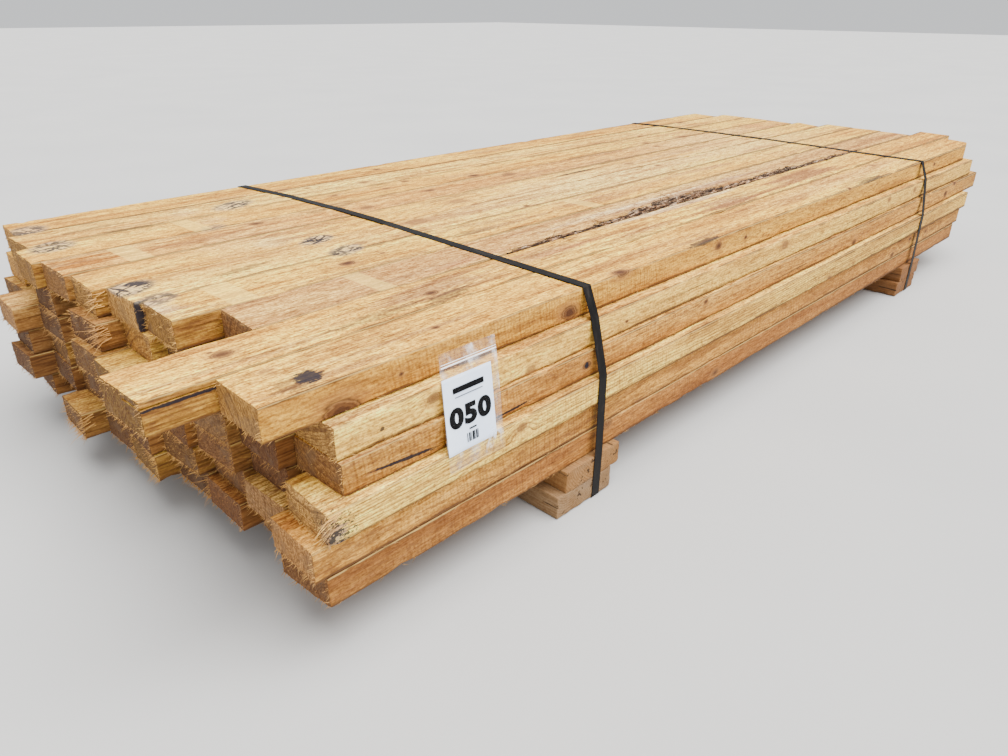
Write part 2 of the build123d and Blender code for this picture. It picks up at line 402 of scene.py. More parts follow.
# Stained stretches of the top: along, across, half length, half width, strength and colour
stains = inMetres(4, [
    (390, 160, 150, 36, 0.75, (0.36, 0.18, 0.078)), (640, 165, 160, 34, 0.8, (0.46, 0.2, 0.08)),
    (900, 130, 110, 20, 0.6, (0.5, 0.24, 0.09)), (1250, 140, 150, 34, 0.85, (0.42, 0.205, 0.088)),
    (1650, 150, 210, 34, 0.75, (0.48, 0.235, 0.095)), (520, 230, 120, 18, 0.6, (0.52, 0.23, 0.085)),
    (1170, 266, 420, 16, 0.9, (1, 0.78, 0.4)), (1150, 196, 380, 12, 0.85, (1, 0.78, 0.4)),
    (55, 672, 85, 50, 0.95, (0.42, 0.158, 0.013)), (270, 672, 90, 50, 0.75, (0.52, 0.215, 0.023)),
    (350, 560, 45, 40, 0.35, (0.44, 0.38, 0.24)), (340, 780, 40, 36, 0.22, (0.7, 0.6, 0.36)),
    (330, 880, 40, 36, 0.22, (0.7, 0.58, 0.34)), (2400, 690, 70, 80, 0.6, (0.58, 0.24, 0.055)),
    (45, 365, 40, 40, 0.5, (0.8, 0.68, 0.42)), (800, 50, 200, 22, 0.4, (0.52, 0.26, 0.07)),
    (200, 150, 90, 20, 0.35, (0.62, 0.3, 0.07)), (60, 120, 120, 12, 0.55, (0.66, 0.25, 0.05)),
    (950, 465, 260, 24, 0.35, (0.52, 0.26, 0.075)), (1250, 880, 300, 26, 0.35, (0.52, 0.27, 0.08)),
    (1400, 255, 500, 22, 0.4, (0.62, 0.36, 0.12)), (1250, 500, 600, 150, 0.5, (1, 0.72, 0.25)),
    (2000, 560, 420, 260, 0.45, (1, 0.72, 0.25)), (1700, 60, 500, 40, 0.35, (1, 0.7, 0.22)),
    (330, 600, 160, 100, 0.3, (1, 0.72, 0.24)), (200, 250, 150, 40, 0.35, (1, 0.68, 0.17)),
    (140, 50, 140, 60, 0.45, (1, 0.66, 0.12)),
])
# Black and grey handling marks, and one painted shadow: along, across, down, half sizes along, across and down, turn in
# degrees, strength
smudges = inMetres(6, [
    (82, 30, 0, 17, 15, 6, 10, 1), (66, 26, 0, 30, 18, 6, 5, 0.4), (384, 121, 0, 44, 12, 6, 8, 0.55),
    (258, 128, 0, 70, 11, 6, 2, 0.45), (916, 4, 0, 50, 9, 6, 0, 0.8), (1726, 8, 0, 70, 9, 6, 0, 0.7),
    (1265, 590, 0, 80, 5, 6, 0, 0.9), (230, 450, 0, 50, 8, 6, 10, 0.5), (560, 700, 0, 70, 8, 6, 5, 0.45),
    (650, 350, 0, 60, 9, 6, -4, 0.45), (150, 880, 0, 60, 8, 6, 6, 0.45), (200, 830, 0, 50, 7, 6, -6, 0.4),
    # the second mark here is a dark line along the second board's front just under its open split: a painted shadow of
    # the split
    (40, 414, 22, 10, 7, 30, 0, 1), (-30, 103.5, 13.5, 60, 4, 2.2, 0, 1),
])
# Scuffs of short crossed strokes on the top: along, across, half length, half width and strength
scuffs = inMetres(4, [
    (56, 484, 46, 34, 0.95), (70, 408, 34, 26, 0.65), (414, 516, 42, 26, 0.95), (412, 421, 40, 26, 0.85),
    (54, 803, 44, 34, 0.9), (58, 956, 40, 34, 0.8), (434, 869, 56, 30, 0.9), (320, 730, 30, 20, 0.45),
])
# Mould at a corner, in specks
mould = {"layer": 4, "place": (0.050, -0.045, 0.172), "spread": 0.020}
# Mould, and drying cracks and holes painted dark as the shade inside them, on the front: along, down, half sizes, turn
# in degrees and strength
frontMarks = inMetres(4, [
    (176, 128, 48, 2.8, -5, 1), (150, 125.5, 24, 1.6, -8, 0.9), (370, 132, 38, 2.2, 2, 1), (538, 118, 4.5, 6, 0, 1),
    (200, 90.5, 120, 1.2, 0, 0.45), (900, 89.5, 200, 1.4, 0, 0.5), (1260, 127.5, 90, 1.6, 1, 0.7),
    (700, 175.5, 60, 1.4, -2, 0.6), (1600, 76, 80, 1.4, 1, 0.6), (300, 215, 50, 1.2, -14, 0.4),
    (145, 76, 3.5, 2.6, 20, 0.9), (820, 70, 110, 1.4, 1, 0.5), (1950, 170, 120, 1.6, 0, 0.6),
])
# Cleaner bands left where a strip had lain: along from and to, and board
cleanBands = inMetres(2, [
    (146, 191, 3), (330, 362, 2), (135, 175, 6), (985, 1022, 3), (300, 335, 7),
])

cedarLook = {
    # the sides against the lit tops, by layer, near the near end and further on: the board's tone and painted shade;
    # layers 2 and 4 have paler sides, the rest sides darker than the tops
    "nearSideToneAndShade": {1: (0.71, 0.64, 0.61), 2: (1.24, 1.30, 1.34), 3: (0.83, 0.76, 0.71),
                  4: (1.11, 1.15, 1.22), 5: (0.80, 0.72, 0.66), 6: (0.70, 0.62, 0.58)},
    "farSideToneAndShade": {1: (0.75, 0.68, 0.65), 2: (1.00, 1.00, 1.02), 3: (0.84, 0.77, 0.72),
                 4: (0.96, 0.95, 0.97), 5: (0.80, 0.72, 0.66), 6: (0.70, 0.62, 0.58)},
    "endDark": (0.185, 0.088, 0.032),
    "endLight": (0.49, 0.262, 0.104),
    "latewood": (0.30, 0.115, 0.028),
    "sideLatewood": {1: (0.30, 0.115, 0.028), 2: (0.26, 0.100, 0.026), 3: (0.26, 0.100, 0.026),
                     4: (0.19, 0.070, 0.018), 5: (0.24, 0.095, 0.024), 6: (0.26, 0.100, 0.026)},
    "brownStreak": (0.34, 0.165, 0.060),
    "fleck": (0.20, 0.080, 0.022),
    # darkened torn wood with painted shade, on the torn sides near the ends
    "tornWoodAndShade": (0.17, 0.072, 0.018),
    "tornFibre": (0.62, 0.35, 0.12),
    # seam dirt with painted shade
    "seamDirtAndShade": (0.070, 0.030, 0.011),
    # painted shade at the foot of each side
    "paintedFootShade": (0.15, 0.062, 0.020),
    # painted highlight on the top arris of each side
    "paintedArrisHighlight": (0.93, 0.62, 0.19),
    "endTint": (1.30, 2.1, 7.0),      # takes the board's own tone back out of its ends
    "endRings": (0.11, 0.043, 0.014),
    "endGrime": (0.15, 0.095, 0.055),
    "knotReach": 1.6,                 # in knot radii
    "knotStain": (0.36, 0.160, 0.045),
    "knotRings": ((0.0, (0.045, 0.016, 0.007)), (0.09, (0.24, 0.10, 0.032)), (0.17, (0.11, 0.042, 0.014)),
                  (0.24, (0.28, 0.125, 0.040)), (0.33, (0.11, 0.042, 0.014)), (0.39, (0.30, 0.14, 0.045)),
                  (0.45, (0.045, 0.017, 0.007)), (0.54, (0.20, 0.085, 0.027))),
    "knotWood": (0.060, 0.022, 0.009),
    # black of the handling marks and scuff strokes, and the painted shade inside cracks and holes
    "darkMarkAndShade": (0.011, 0.010, 0.017),
    "scuffed": (0.46, 0.37, 0.27),
    "mouldGrey": (0.28, 0.200, 0.175),
    "mouldSpeck": (0.020, 0.018, 0.020),
    "cleanWood": (0.95, 0.66, 0.14),
    "palest": (0.93, 0.90, 0.85),
    "ringSpacing": 0.0050,
    "sideRings": {1: 0.08, 2: 0.30, 3: 0.12, 4: 0.60, 5: 0.18, 6: 0.12},
    "bumpDepth": 0.0013,
}


def patchDistance(place, centre, halfSizes, turn=0.0, upright=False):
    # distance from a patch's middle in its own half sizes, turned in the plane of its face
    offset = vectorCalc("SUBTRACT", place, centre)
    c, s = math.cos(math.radians(turn)), math.sin(math.radians(turn))
    if upright:
        directions = (c, 0, s), (-s, 0, c), (0, 1, 0)
    else:
        directions = (c, s, 0), (-s, c, 0), (0, 0, 1)
    parts = [dot(offset, tuple(value / half for value in direction)) for direction, half in zip(directions, halfSizes)]
    return lengthOf(vectorOf(*parts))


def toneBy(colour, value, dark, light, share, spread=0.12):
    # darkens and lightens a colour where a noise is low and high
    tone = ramp(value, (0.5 - spread, dark), (0.5, 1.0), (0.5 + spread, light))
    return blendColours(share, colour, tone, "MULTIPLY")


def nearestKnot(place, knots, wobble):
    # nearest distance in knot radii, and how dark the nearest knots are
    nearest, darkness = [], []
    for centre, radius, dark in knots:
        offset = vectorCalc("SUBTRACT", place, centre)
        distance = plus(lengthOf(vectorCalc("MULTIPLY", offset, (0.70 / radius, 1.12 / radius, 1.12 / radius))), wobble)
        nearest.append(distance)
        darkness.append(times(calc("LESS_THAN", distance, cedarLook["knotReach"]), dark ** 0.6))
    return reduce(least, nearest), reduce(most, darkness)


def scatteredKnots(grain, cell, chance, radius):
    # a knot now and then where none is listed, at the cells' own points
    inCells = vectorCalc("MULTIPLY", grain, [1 / size for size in cell])
    voronoi = addNode("TexVoronoi", {"Vector": inCells, "Scale": 1.0})
    offset = vectorCalc("SUBTRACT", grain, vectorCalc("MULTIPLY", voronoi.outputs["Position"], cell))
    distance = lengthOf(vectorCalc("MULTIPLY", offset, (0.62, 1, 1)))
    luck = addNode("SeparateColor", {0: voronoi.outputs["Color"]}).outputs[0]
    size = most(times(band(luck, 1 - chance, 1.0), radius), 0.00001)
    return calc("DIVIDE", distance, size)


def inLayer(down, layer):
    return (layer - 1) * stack["layerPitch"] <= down < layer * stack["layerPitch"]


def readWood():
    # what every part of the cedar's colour reads: where a point is, which way it faces, and noises
    wood = SimpleNamespace()
    wood.grain = readAttribute("grainPlace", "Vector")
    wood.fromPith = partsOf(wood.grain)[1:]
    boardTint = addNode("Attribute", attribute_name="boardTint").outputs
    wood.tint, wood.endShade = boardTint["Color"], boardTint["Alpha"]
    wood.fuzz = readAttribute("fuzz", "Fac")
    wood.inBoard = partsOf(readAttribute("inBoard", "Vector"))
    wood.shag = readAttribute("shag", "Fac")
    wood.place = objectPlace()
    wood.x, wood.y, wood.z = partsOf(wood.place)
    normal = addNode("NewGeometry").outputs["Normal"]
    faces = partsOf(vectorCalc("ABSOLUTE", normal))
    wood.endFace = band(faces[0], 0.55, 0.8)
    wood.sideFace = band(faces[1], 0.55, 0.8)
    wood.topFace = band(partsOf(normal)[2], 0.5, 0.8)

    # along the grain, from broad stretches down to single fibres
    wood.broad = noiseAt(wood.grain, (0.9, 10, 10), 2.0, 0.5)
    wood.streak = noiseAt(wood.grain, (2.7, 44, 44), 4.0, 0.58)
    wood.mottle = noiseAt(wood.grain, (17, 95, 95), 3.0, 0.6)
    wood.fibre = noiseAt(wood.grain, (42, 430, 430), 3.0, 0.6)
    wood.fleck = noiseAt(wood.grain, (65, 250, 250), 2.0, 0.5)
    wood.dash = noiseAt(wood.grain, (34, 270, 270), 3.0, 0.6)
    # and even all ways
    wood.speckle = noiseAt(wood.place, (230, 330, 330), 3.0, 0.65)
    wood.grit = noiseAt(wood.place, (150, 220, 220), 4.0, 0.65)
    return wood


def knotsOf(wood, layer):
    # the knots listed for this layer's faces, and a few anywhere
    knots = []
    if layer == 1:
        knots += [(atStack(x, y, 0), r, dark) for x, y, r, dark in topKnots]
    lean = stack["lean"][layer]
    knots += [(atStack(x, -lean, down), r, dark) for x, down, r, dark in sideKnots if inLayer(down, layer)]
    wobble = times(centred(wood.mottle), 1.0)
    nearest, darkness = nearestKnot(wood.place, knots, wobble)
    strewn = plus(scatteredKnots(wood.grain, (0.33, 0.085, 0.085), 0.26, 0.010), wobble)
    if layer == 1:
        strewn = plus(strewn, times(wood.topFace, 9.0))
    darkness = most(darkness, times(calc("LESS_THAN", strewn, cedarLook["knotReach"]), 0.65))
    return least(nearest, strewn), darkness


def growthRings(wood):
    # dark summer wood, in rings round the pith that waver along the board and are pushed out round knots
    first, second = wood.fromPith
    radius = calc("SQRT", plus(times(first, first), times(second, second)))
    waver = centred(noiseAt(wood.grain, (1.3, 9, 9), 2.0, 0.45))
    radius = timesPlus(waver, 0.040, radius)
    radius = timesPlus(centred(wood.mottle), 0.0030, radius)
    radius = timesPlus(fade(wood.nearest, 0.8, 4.2), 0.009, radius)
    uneven = noiseAt(vectorOf(radius), (70, 70, 70), 1.0, 0.5)
    turns = timesPlus(uneven, 5.0, times(radius, 1 / cedarLook["ringSpacing"]))
    return ramp(calc("FRACT", turns), (0.0, 0.0), (0.45, 0.05), (0.80, 0.60), (0.92, 1.0), (1.0, 0.0))


def grownColour(wood, layer):
    # the board's colour, its stretches, streaks, rings and fibres, with painted shade: its sides darker or paler than
    # its top by layer
    look, topFace = cedarLook, wood.topFace
    # painted shade: the sides take their layer's tone and shade, the tops none
    sideToneAndShade = blendColours(band(wood.x, -0.95, -0.25), look["nearSideToneAndShade"][layer], look["farSideToneAndShade"][layer])
    colour = blendColours(1.0, wood.tint, blendColours(topFace, sideToneAndShade, white), "MULTIPLY")
    if layer > 1:
        # painted shade: boards with dark ends are darker for a stretch behind them, as shade in the recesses among the
        # boards' ends
        outer = band(calc("ABSOLUTE", wood.x), 0.95, 1.22)
        colour = blendColours(times(outer, times(inverse(wood.endShade), 0.66, clamp=True)), colour, black)
    topShare = timesPlus(topFace, 0.30, 0.60)
    colour = toneBy(colour, wood.broad, (0.76, 0.67, 0.66), (1.08, 1.16, 1.24), topShare)
    if layer == 1:
        for x, y, halfLength, halfWidth, strength, shade in stains:
            distance = patchDistance(wood.place, atStack(x, y, 0), (halfLength, halfWidth, 0.02))
            ragged = timesPlus(centred(wood.streak), 3.2, distance)
            share = times(times(fade(ragged, 0.35, 1.15), strength), topFace)
            colour = blendColours(share, colour, shade)
    colour = toneBy(colour, wood.streak, (0.56, 0.45, 0.43), (1.10, 1.18, 1.28), topShare, 0.115)
    brown = times(band(wood.streak, 0.570, 0.640), timesPlus(topFace, 0.42, 0.20))
    colour = blendColours(brown, colour, look["brownStreak"])
    colour = toneBy(colour, wood.mottle, (0.66, 0.57, 0.54), (1.08, 1.13, 1.18), timesPlus(topFace, 0.12, 0.28))
    figure = timesPlus(band(wood.broad, 0.42, 0.60), 0.36, 0.18)
    figure = timesPlus(wood.sideFace, look["sideRings"][layer], figure)
    latewood = blendColours(wood.sideFace, look["latewood"], look["sideLatewood"][layer])
    colour = blendColours(times(wood.late, figure, clamp=True), colour, latewood)
    fineShare = timesPlus(topFace, 0.26, 0.52)
    colour = toneBy(colour, wood.dash, (0.52, 0.43, 0.38), (1.12, 1.16, 1.22), fineShare)
    colour = toneBy(colour, wood.fibre, (0.50, 0.39, 0.31), (1.16, 1.20, 1.28), fineShare)
    colour = toneBy(colour, wood.grit, (0.60, 0.49, 0.39), (1.13, 1.17, 1.24), timesPlus(topFace, 0.12, 0.38), 0.10)
    colour = toneBy(colour, wood.speckle, (0.56, 0.45, 0.36), (1.14, 1.18, 1.25), timesPlus(topFace, 0.25, 0.60))
    flecks = times(band(wood.fleck, 0.57, 0.65), timesPlus(band(wood.broad, 0.4, 0.6), 0.32, 0.38))
    return blendColours(flecks, colour, look["fleck"])


def sawMarks(wood, colour):
    # marks across the board, deeper in some stretches; a coarser beat shows from further off
    tilt = timesPlus(wood.y, 0.06, timesPlus(wood.z, 0.16, wood.x))
    drift = noiseAt(wood.grain, (7, 16, 16), 2.0, 0.5)
    fineBeat = calc("SINE", timesPlus(tilt, 980, times(drift, 22)))
    slowBeat = calc("SINE", timesPlus(tilt, 430, times(drift, 17)))
    tooth = noiseAt(vectorOf(tilt, *wood.fromPith), (260, 12, 12), 3.0, 0.6)
    wood.sawLine = timesPlus(fineBeat, 0.15, timesPlus(slowBeat, 0.10, timesPlus(tooth, 1.2, -0.10)))
    stretch = band(noiseAt(wood.grain, (2.4, 11, 11), 1.0, 0.5), 0.34, 0.62)
    wood.sawShare = times(times(stretch, timesPlus(wood.sideFace, 0.36, 0.26)), inverse(wood.shag))
    return toneBy(colour, wood.sawLine, (0.58, 0.46, 0.37), (1.12, 1.16, 1.22), wood.sawShare, 0.35)


def tornSides(wood, colour):
    # the torn sides near an end are darkened, torn wood and painted shade, and show a comb of pale and dark stripes
    # painted as the light and shade of the torn fibres
    wood.comb = noiseAt(wood.grain, (12, 250, 250), 3.0, 0.6)
    wood.torn = times(wood.shag, inverse(wood.topFace))
    colour = blendColours(times(wood.torn, 0.75), colour, cedarLook["tornWoodAndShade"])
    return toneBy(colour, wood.comb, (0.44, 0.36, 0.30), (1.24, 1.32, 1.45), wood.torn, 0.10)


def edgeDirtShadeAndHighlight(wood, layer, colour):
    # dirt and painted shade along the sawn edges, a painted shade line at the foot of each side and a painted highlight
    # along each side's top arris; the seams hold more dirt and shade towards the far end
    look = cedarLook
    across, up = wood.inBoard[1:]
    acrossEdge = least(across, calc("SUBTRACT", stack["boardWidth"], across))
    upEdge = least(up, calc("SUBTRACT", stack["boardThickness"], up))
    edge = plus(most(acrossEdge, 0.0), most(upEdge, 0.0))
    edge = timesPlus(centred(wood.mottle), 0.008, edge)
    # seam dirt and painted shade, wider towards the far end and along one seam of the top layer
    gatheredDirtAndShade = times(band(wood.x, -0.7, 1.2), -0.0026)
    if layer == 1:
        backSeam = times(band(wood.y, 0.395, 0.405), fade(wood.y, 0.475, 0.485))
        gatheredDirtAndShade = timesPlus(backSeam, -0.0022, gatheredDirtAndShade)
    seam = fade(timesPlus(centred(wood.streak), 0.008, plus(edge, gatheredDirtAndShade)), 0.0018, 0.0048)
    seam = times(seam, times(inverse(wood.endFace), 0.82))
    colour = blendColours(seam, colour, look["seamDirtAndShade"])
    # painted shade along the bottom of each side, at the seam with the layer below
    paintedFootShade = fade(timesPlus(centred(wood.mottle), 0.006, up), 0.0010, 0.0045)
    colour = blendColours(times(times(paintedFootShade, wood.sideFace), 0.55), colour, look["paintedFootShade"])
    # painted highlight along the top edge of each side
    paintedArrisHighlight = band(timesPlus(centred(wood.dash), 0.004, up), 0.0425, 0.0450)
    return blendColours(times(times(paintedArrisHighlight, wood.sideFace), 0.40), colour, look["paintedArrisHighlight"])


def endGrain(wood):
    # dark and porous, with the rings showing as arcs
    look = cedarLook
    wood.pores = noiseAt(wood.place, (300, 290, 290), 4.0, 0.7)
    hair = noiseAt(wood.grain, (60, 420, 110), 3.0, 0.6)
    colour = ramp(wood.pores, (0.36, look["endDark"]), (0.64, look["endLight"]))
    colour = toneBy(colour, hair, (0.55, 0.48, 0.42), (1.35, 1.38, 1.40), 0.8)
    tint = blendColours(1.0, wood.tint, look["endTint"], "MULTIPLY")
    colour = blendColours(0.75, colour, tint, "MULTIPLY")
    # how light the end is: its tone and painted shade, darkest on the inner ends
    shade = addNode("CombineColor", {0: wood.endShade, 1: wood.endShade, 2: wood.endShade}).outputs[0]
    colour = blendColours(1.0, colour, shade, "MULTIPLY")
    colour = blendColours(times(wood.late, 0.70), colour, look["endRings"])
    grime = band(noiseAt(wood.place, (22, 26, 26), 3.0, 0.6), 0.48, 0.66)
    return blendColours(times(grime, 0.40), colour, look["endGrime"])


def knotColours(wood, colour):
    # dark rim, rings inside, and a warm stain round them
    look, nearest, darkness = cedarLook, wood.nearest, wood.darkness
    colour = blendColours(times(fade(nearest, 0.7, 2.6), timesPlus(darkness, 0.25, 0.30)), colour, look["knotStain"])
    rings = ramp(times(nearest, 0.5), *look["knotRings"])
    colour = blendColours(times(fade(nearest, 0.80, 1.25), darkness), colour, rings)
    heart = times(fade(nearest, 0.25, 0.95), times(band(darkness, 0.60, 0.95), 0.92))
    return blendColours(heart, colour, look["knotWood"])


def handlingMarks(wood, layer, colour):
    # smears, and cracks and holes painted dark as the shade inside them, broken up by the fibres that caught the dirt
    marks = []
    for x, y, down, halfLength, halfWidth, halfHeight, turn, strength in smudges:
        if inLayer(down, layer):
            sizes = (halfLength * 1.05, halfWidth * 1.15, halfHeight)
            marks.append((patchDistance(wood.place, atStack(x, y, down), sizes, turn), strength))
    for x, down, halfLength, halfHeight, turn, strength in frontMarks:
        if inLayer(down, layer):
            centre = atStack(x, -stack["lean"][layer], down)
            marks.append((patchDistance(wood.place, centre, (halfLength, halfHeight, 0.01), turn, True), strength))
    if not marks:
        return colour
    wood.breakUp = times(centred(timesPlus(wood.grit, 0.6, times(wood.dash, 0.4))), 2.2)
    shares = (times(fade(plus(distance, wood.breakUp), 0.80, 1.25), strength) for distance, strength in marks)
    return blendColours(times(reduce(most, shares), 0.96), colour, cedarLook["darkMarkAndShade"])


def mouldSpecks(wood, colour):
    look = cedarLook
    reach = calc("DIVIDE", lengthOf(vectorCalc("SUBTRACT", wood.place, atStack(*mould["place"]))), mould["spread"])
    grey = fade(timesPlus(centred(wood.dash), 2.0, reach), 0.45, 1.15)
    colour = blendColours(times(grey, 0.62), colour, look["mouldGrey"])
    specks = timesPlus(calc("SUBTRACT", 0.5, wood.grit), 6.0, timesPlus(reach, 0.6, 0.50))
    return blendColours(times(fade(specks, 0.75, 1.10), 0.92), colour, look["mouldSpeck"])


def topScuffs(wood, colour):
    # short crossed strokes on greyed patches
    first = dot(wood.place, (0.87, 0.50, 0))
    second = dot(wood.place, (-0.42, 0.91, 0))
    lengthwise = noiseAt(vectorOf(first, second), (24, 125, 1), 2.0, 0.5)
    crosswise = noiseAt(vectorOf(first, second), (115, 26, 1), 2.0, 0.5)
    strokes = most(band(lengthwise, 0.50, 0.54), band(crosswise, 0.52, 0.56))
    strokes = times(strokes, band(wood.grit, 0.20, 0.42))
    shares = []
    for x, y, halfLength, halfWidth, strength in scuffs:
        reach = patchDistance(wood.place, atStack(x, y, 0), (halfLength, halfWidth, 0.006), 20)
        shares.append(times(fade(timesPlus(wood.breakUp, 0.4, reach), 0.70, 1.15), strength))
    scuffed = reduce(most, shares)
    colour = blendColours(times(scuffed, 0.50), colour, cedarLook["scuffed"])
    return blendColours(times(strokes, scuffed), colour, cedarLook["darkMarkAndShade"])


def cleanStretches(wood, colour):
    x, y, _ = partsOf(vectorCalc("SUBTRACT", wood.place, atStack(0, 0, 0)))
    slant = timesPlus(y, 0.03, x)
    shares = []
    for start, end, column in cleanBands:
        lengthwise = times(band(slant, start, start + 0.002), fade(slant, end, end + 0.002))
        row = column * stack["pitch"]
        crosswise = times(calc("GREATER_THAN", y, row), calc("LESS_THAN", y, row + stack["pitch"]))
        shares.append(times(lengthwise, crosswise))
    share = times(times(reduce(most, shares), wood.topFace), 0.34)
    return blendColours(share, colour, cedarLook["cleanWood"])


def cedarMaterial(name, layer):
    material = newMaterial(name)
    look = cedarLook
    wood = readWood()
    wood.nearest, wood.darkness = knotsOf(wood, layer)
    wood.late = growthRings(wood)
    colour = grownColour(wood, layer)
    colour = tornSides(wood, sawMarks(wood, colour))
    colour = edgeDirtShadeAndHighlight(wood, layer, colour)
    colour = blendColours(wood.endFace, colour, endGrain(wood))
    colour = handlingMarks(wood, layer, knotColours(wood, colour))
    if layer == mould["layer"]:
        colour = mouldSpecks(wood, colour)
    if layer == 1:
        colour = cleanStretches(wood, topScuffs(wood, colour))
    # torn fibres catch the light
    colour = blendColours(times(wood.fuzz, 0.55), colour, look["tornFibre"])
    colour = vectorCalc("MINIMUM", colour, look["palest"])

    height = timesPlus(wood.dash, 0.35, times(wood.fibre, 0.35))
    height = timesPlus(wood.speckle, 0.45, height)
    height = timesPlus(times(wood.sawLine, wood.sawShare), 1.0, height)
    height = timesPlus(times(wood.pores, wood.endFace), 1.4, height)
    height = timesPlus(times(wood.comb, wood.torn), 1.6, height)
    rough = ramp(wood.fibre, (0.35, 0.94), (0.65, 0.80))
    finishMaterial(colour, rough, height, look["bumpDepth"], 0.9, Specular_IOR_Level=0.25)
    return material


# boards

boardShape = {
    "endRun": 0.060,        # how much of each end is finely divided
    "endCuts": 9,
    "widthCuts": 7,
    "thicknessCuts": 3,
    "edgeRounding": 0.0011,
    "topLoss": 0.0014,      # sawn a little thin here and there
    "mostLoss": 0.0028,
    "sideLoss": 0.0007,
    "chipReach": 0.004,     # how far from an edge it may be chipped
    "chipDepth": 0.0042,
    "capDepth": 0.0016,     # what counts as the end's own face
    "shagReach": (0.05, 0.12),    # torn sides from the near end: all of it, then fading
}


def masterBoard(name, length, width, thickness, middleCuts):
    # one board at the origin, divided finely at its ends, with worn edges
    shape = boardShape
    run = shape["endRun"]
    board = addBox(name, (0, 0, 0), (length, width, thickness))
    editMode("EDGE")
    for x in (run, length - run):
        cutAcross((x, 0, 0), (1, 0, 0))
    divideAlong(board, 0, 0, run, shape["endCuts"])
    divideAlong(board, 0, length - run, length, shape["endCuts"])
    divideAlong(board, 0, run, length - run, middleCuts)
    divideAlong(board, 1, 0, width, shape["widthCuts"])
    divideAlong(board, 2, 0, thickness, shape["thicknessCuts"])
    pick(board, "EDGE", lambda edge: len(edge.link_faces) == 2 and edge.calc_face_angle(0) > 1.0)
    bpy.ops.mesh.bevel(offset=shape["edgeRounding"], segments=2, affect="EDGES", clamp_overlap=True)
    pick(board, "FACE", lambda face: abs(face.normal.x) > 0.9)
    bpy.ops.mesh.select_mode(type="FACE")
    bpy.ops.mesh.subdivide(number_cuts=1)
    objectMode()
    return board


def readBoards(node):
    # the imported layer's boards from front to back: where each one's four corners are
    probe = copyOf(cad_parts[node], "probe")
    probe.hide_render = False
    makeActive(probe)
    mergeDoubles()
    bpy.ops.mesh.separate(type="LOOSE")
    objectMode()
    found = []
    for part in list(bpy.context.selected_objects):
        co = coordinates(part)
        low, high = co.min(0), co.max(0)
        bottom = co[co[:, 2] < low[2] + 0.001]
        front = bottom[bottom[:, 1] < low[1] + 0.001]
        back = bottom[bottom[:, 1] > high[1] - 0.001]
        found.append({
            "low": low, "high": high,
            "near": (front[:, 0].min(), back[:, 0].min()),
            "far": (front[:, 0].max(), back[:, 0].max()),
        })
        bpy.data.objects.remove(part)
    return sorted(found, key=lambda entry: entry["low"][1])


def between(pair, share):
    return pair[0] + (pair[1] - pair[0]) * share


def fitBoard(master, nominal, entry, name, seed, wear):
    # a copy of the master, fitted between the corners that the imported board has
    shape = boardShape
    board = copyOf(master, name)
    co = coordinates(board)
    length, width, thickness = nominal
    run = shape["endRun"]
    u = co[:, 0]
    v = unit(co[:, 1] / width)
    w = unit(co[:, 2] / thickness)
    near, far = between(entry["near"], v), between(entry["far"], v)
    share = unit((u - run) / (length - 2 * run))
    middle = near + run + share * (far - near - 2 * run)
    x = np.where(u < run, near + u, np.where(u > length - run, far - (length - u), middle))
    low, high = entry["low"], entry["high"]
    y = low[1] + v * (high[1] - low[1])
    z = low[2] + w * (high[2] - low[2])
    rng = random.Random(seed)
    spots = np.stack([x, y, z], 1)
    # thickness and width vary slowly along the board
    slow = roughness(spots, (2.2, 6, 6), seed, 2)
    finer = roughness(spots, (16, 30, 30), seed + 0.5)
    sink = rng.uniform(0.1, 1.0) * shape["topLoss"]
    z -= w * np.clip(sink + 0.0005 * slow + 0.0003 * finer, 0, shape["mostLoss"])
    narrow = shape["sideLoss"] * (0.5 + 0.5 * slow)
    y += (1 - v) * np.clip(narrow, 0, None) - v * np.clip(narrow, 0, None)
    # chips along the edges
    reach = shape["chipReach"]
    rim = (np.minimum(v, 1 - v) * width < reach) & (np.minimum(w, 1 - w) * thickness < reach)
    chip = np.clip(roughness(spots, (38, 60, 60), seed + 1.5) - 0.18, 0, None) * shape["chipDepth"] * wear
    y += np.where(rim, np.where(v < 0.5, chip, -chip), 0)
    z += np.where(rim, np.where(w < 0.5, chip, -chip), 0)
    # the saw leaves an end rough and torn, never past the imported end
    nearCap = u < shape["capDepth"]
    farCap = length - u < shape["capDepth"]
    torn = np.zeros(len(u))
    capped = nearCap | farCap
    torn[capped] = roughness(spots[capped], (110, 260, 170), seed + 2.5, 3)
    x += (nearCap * 1.0 - farCap * 1.0) * (0.0004 + 0.0009 * torn) * wear
    setCoordinates(board, np.stack([x, y, z], 1))
    return board


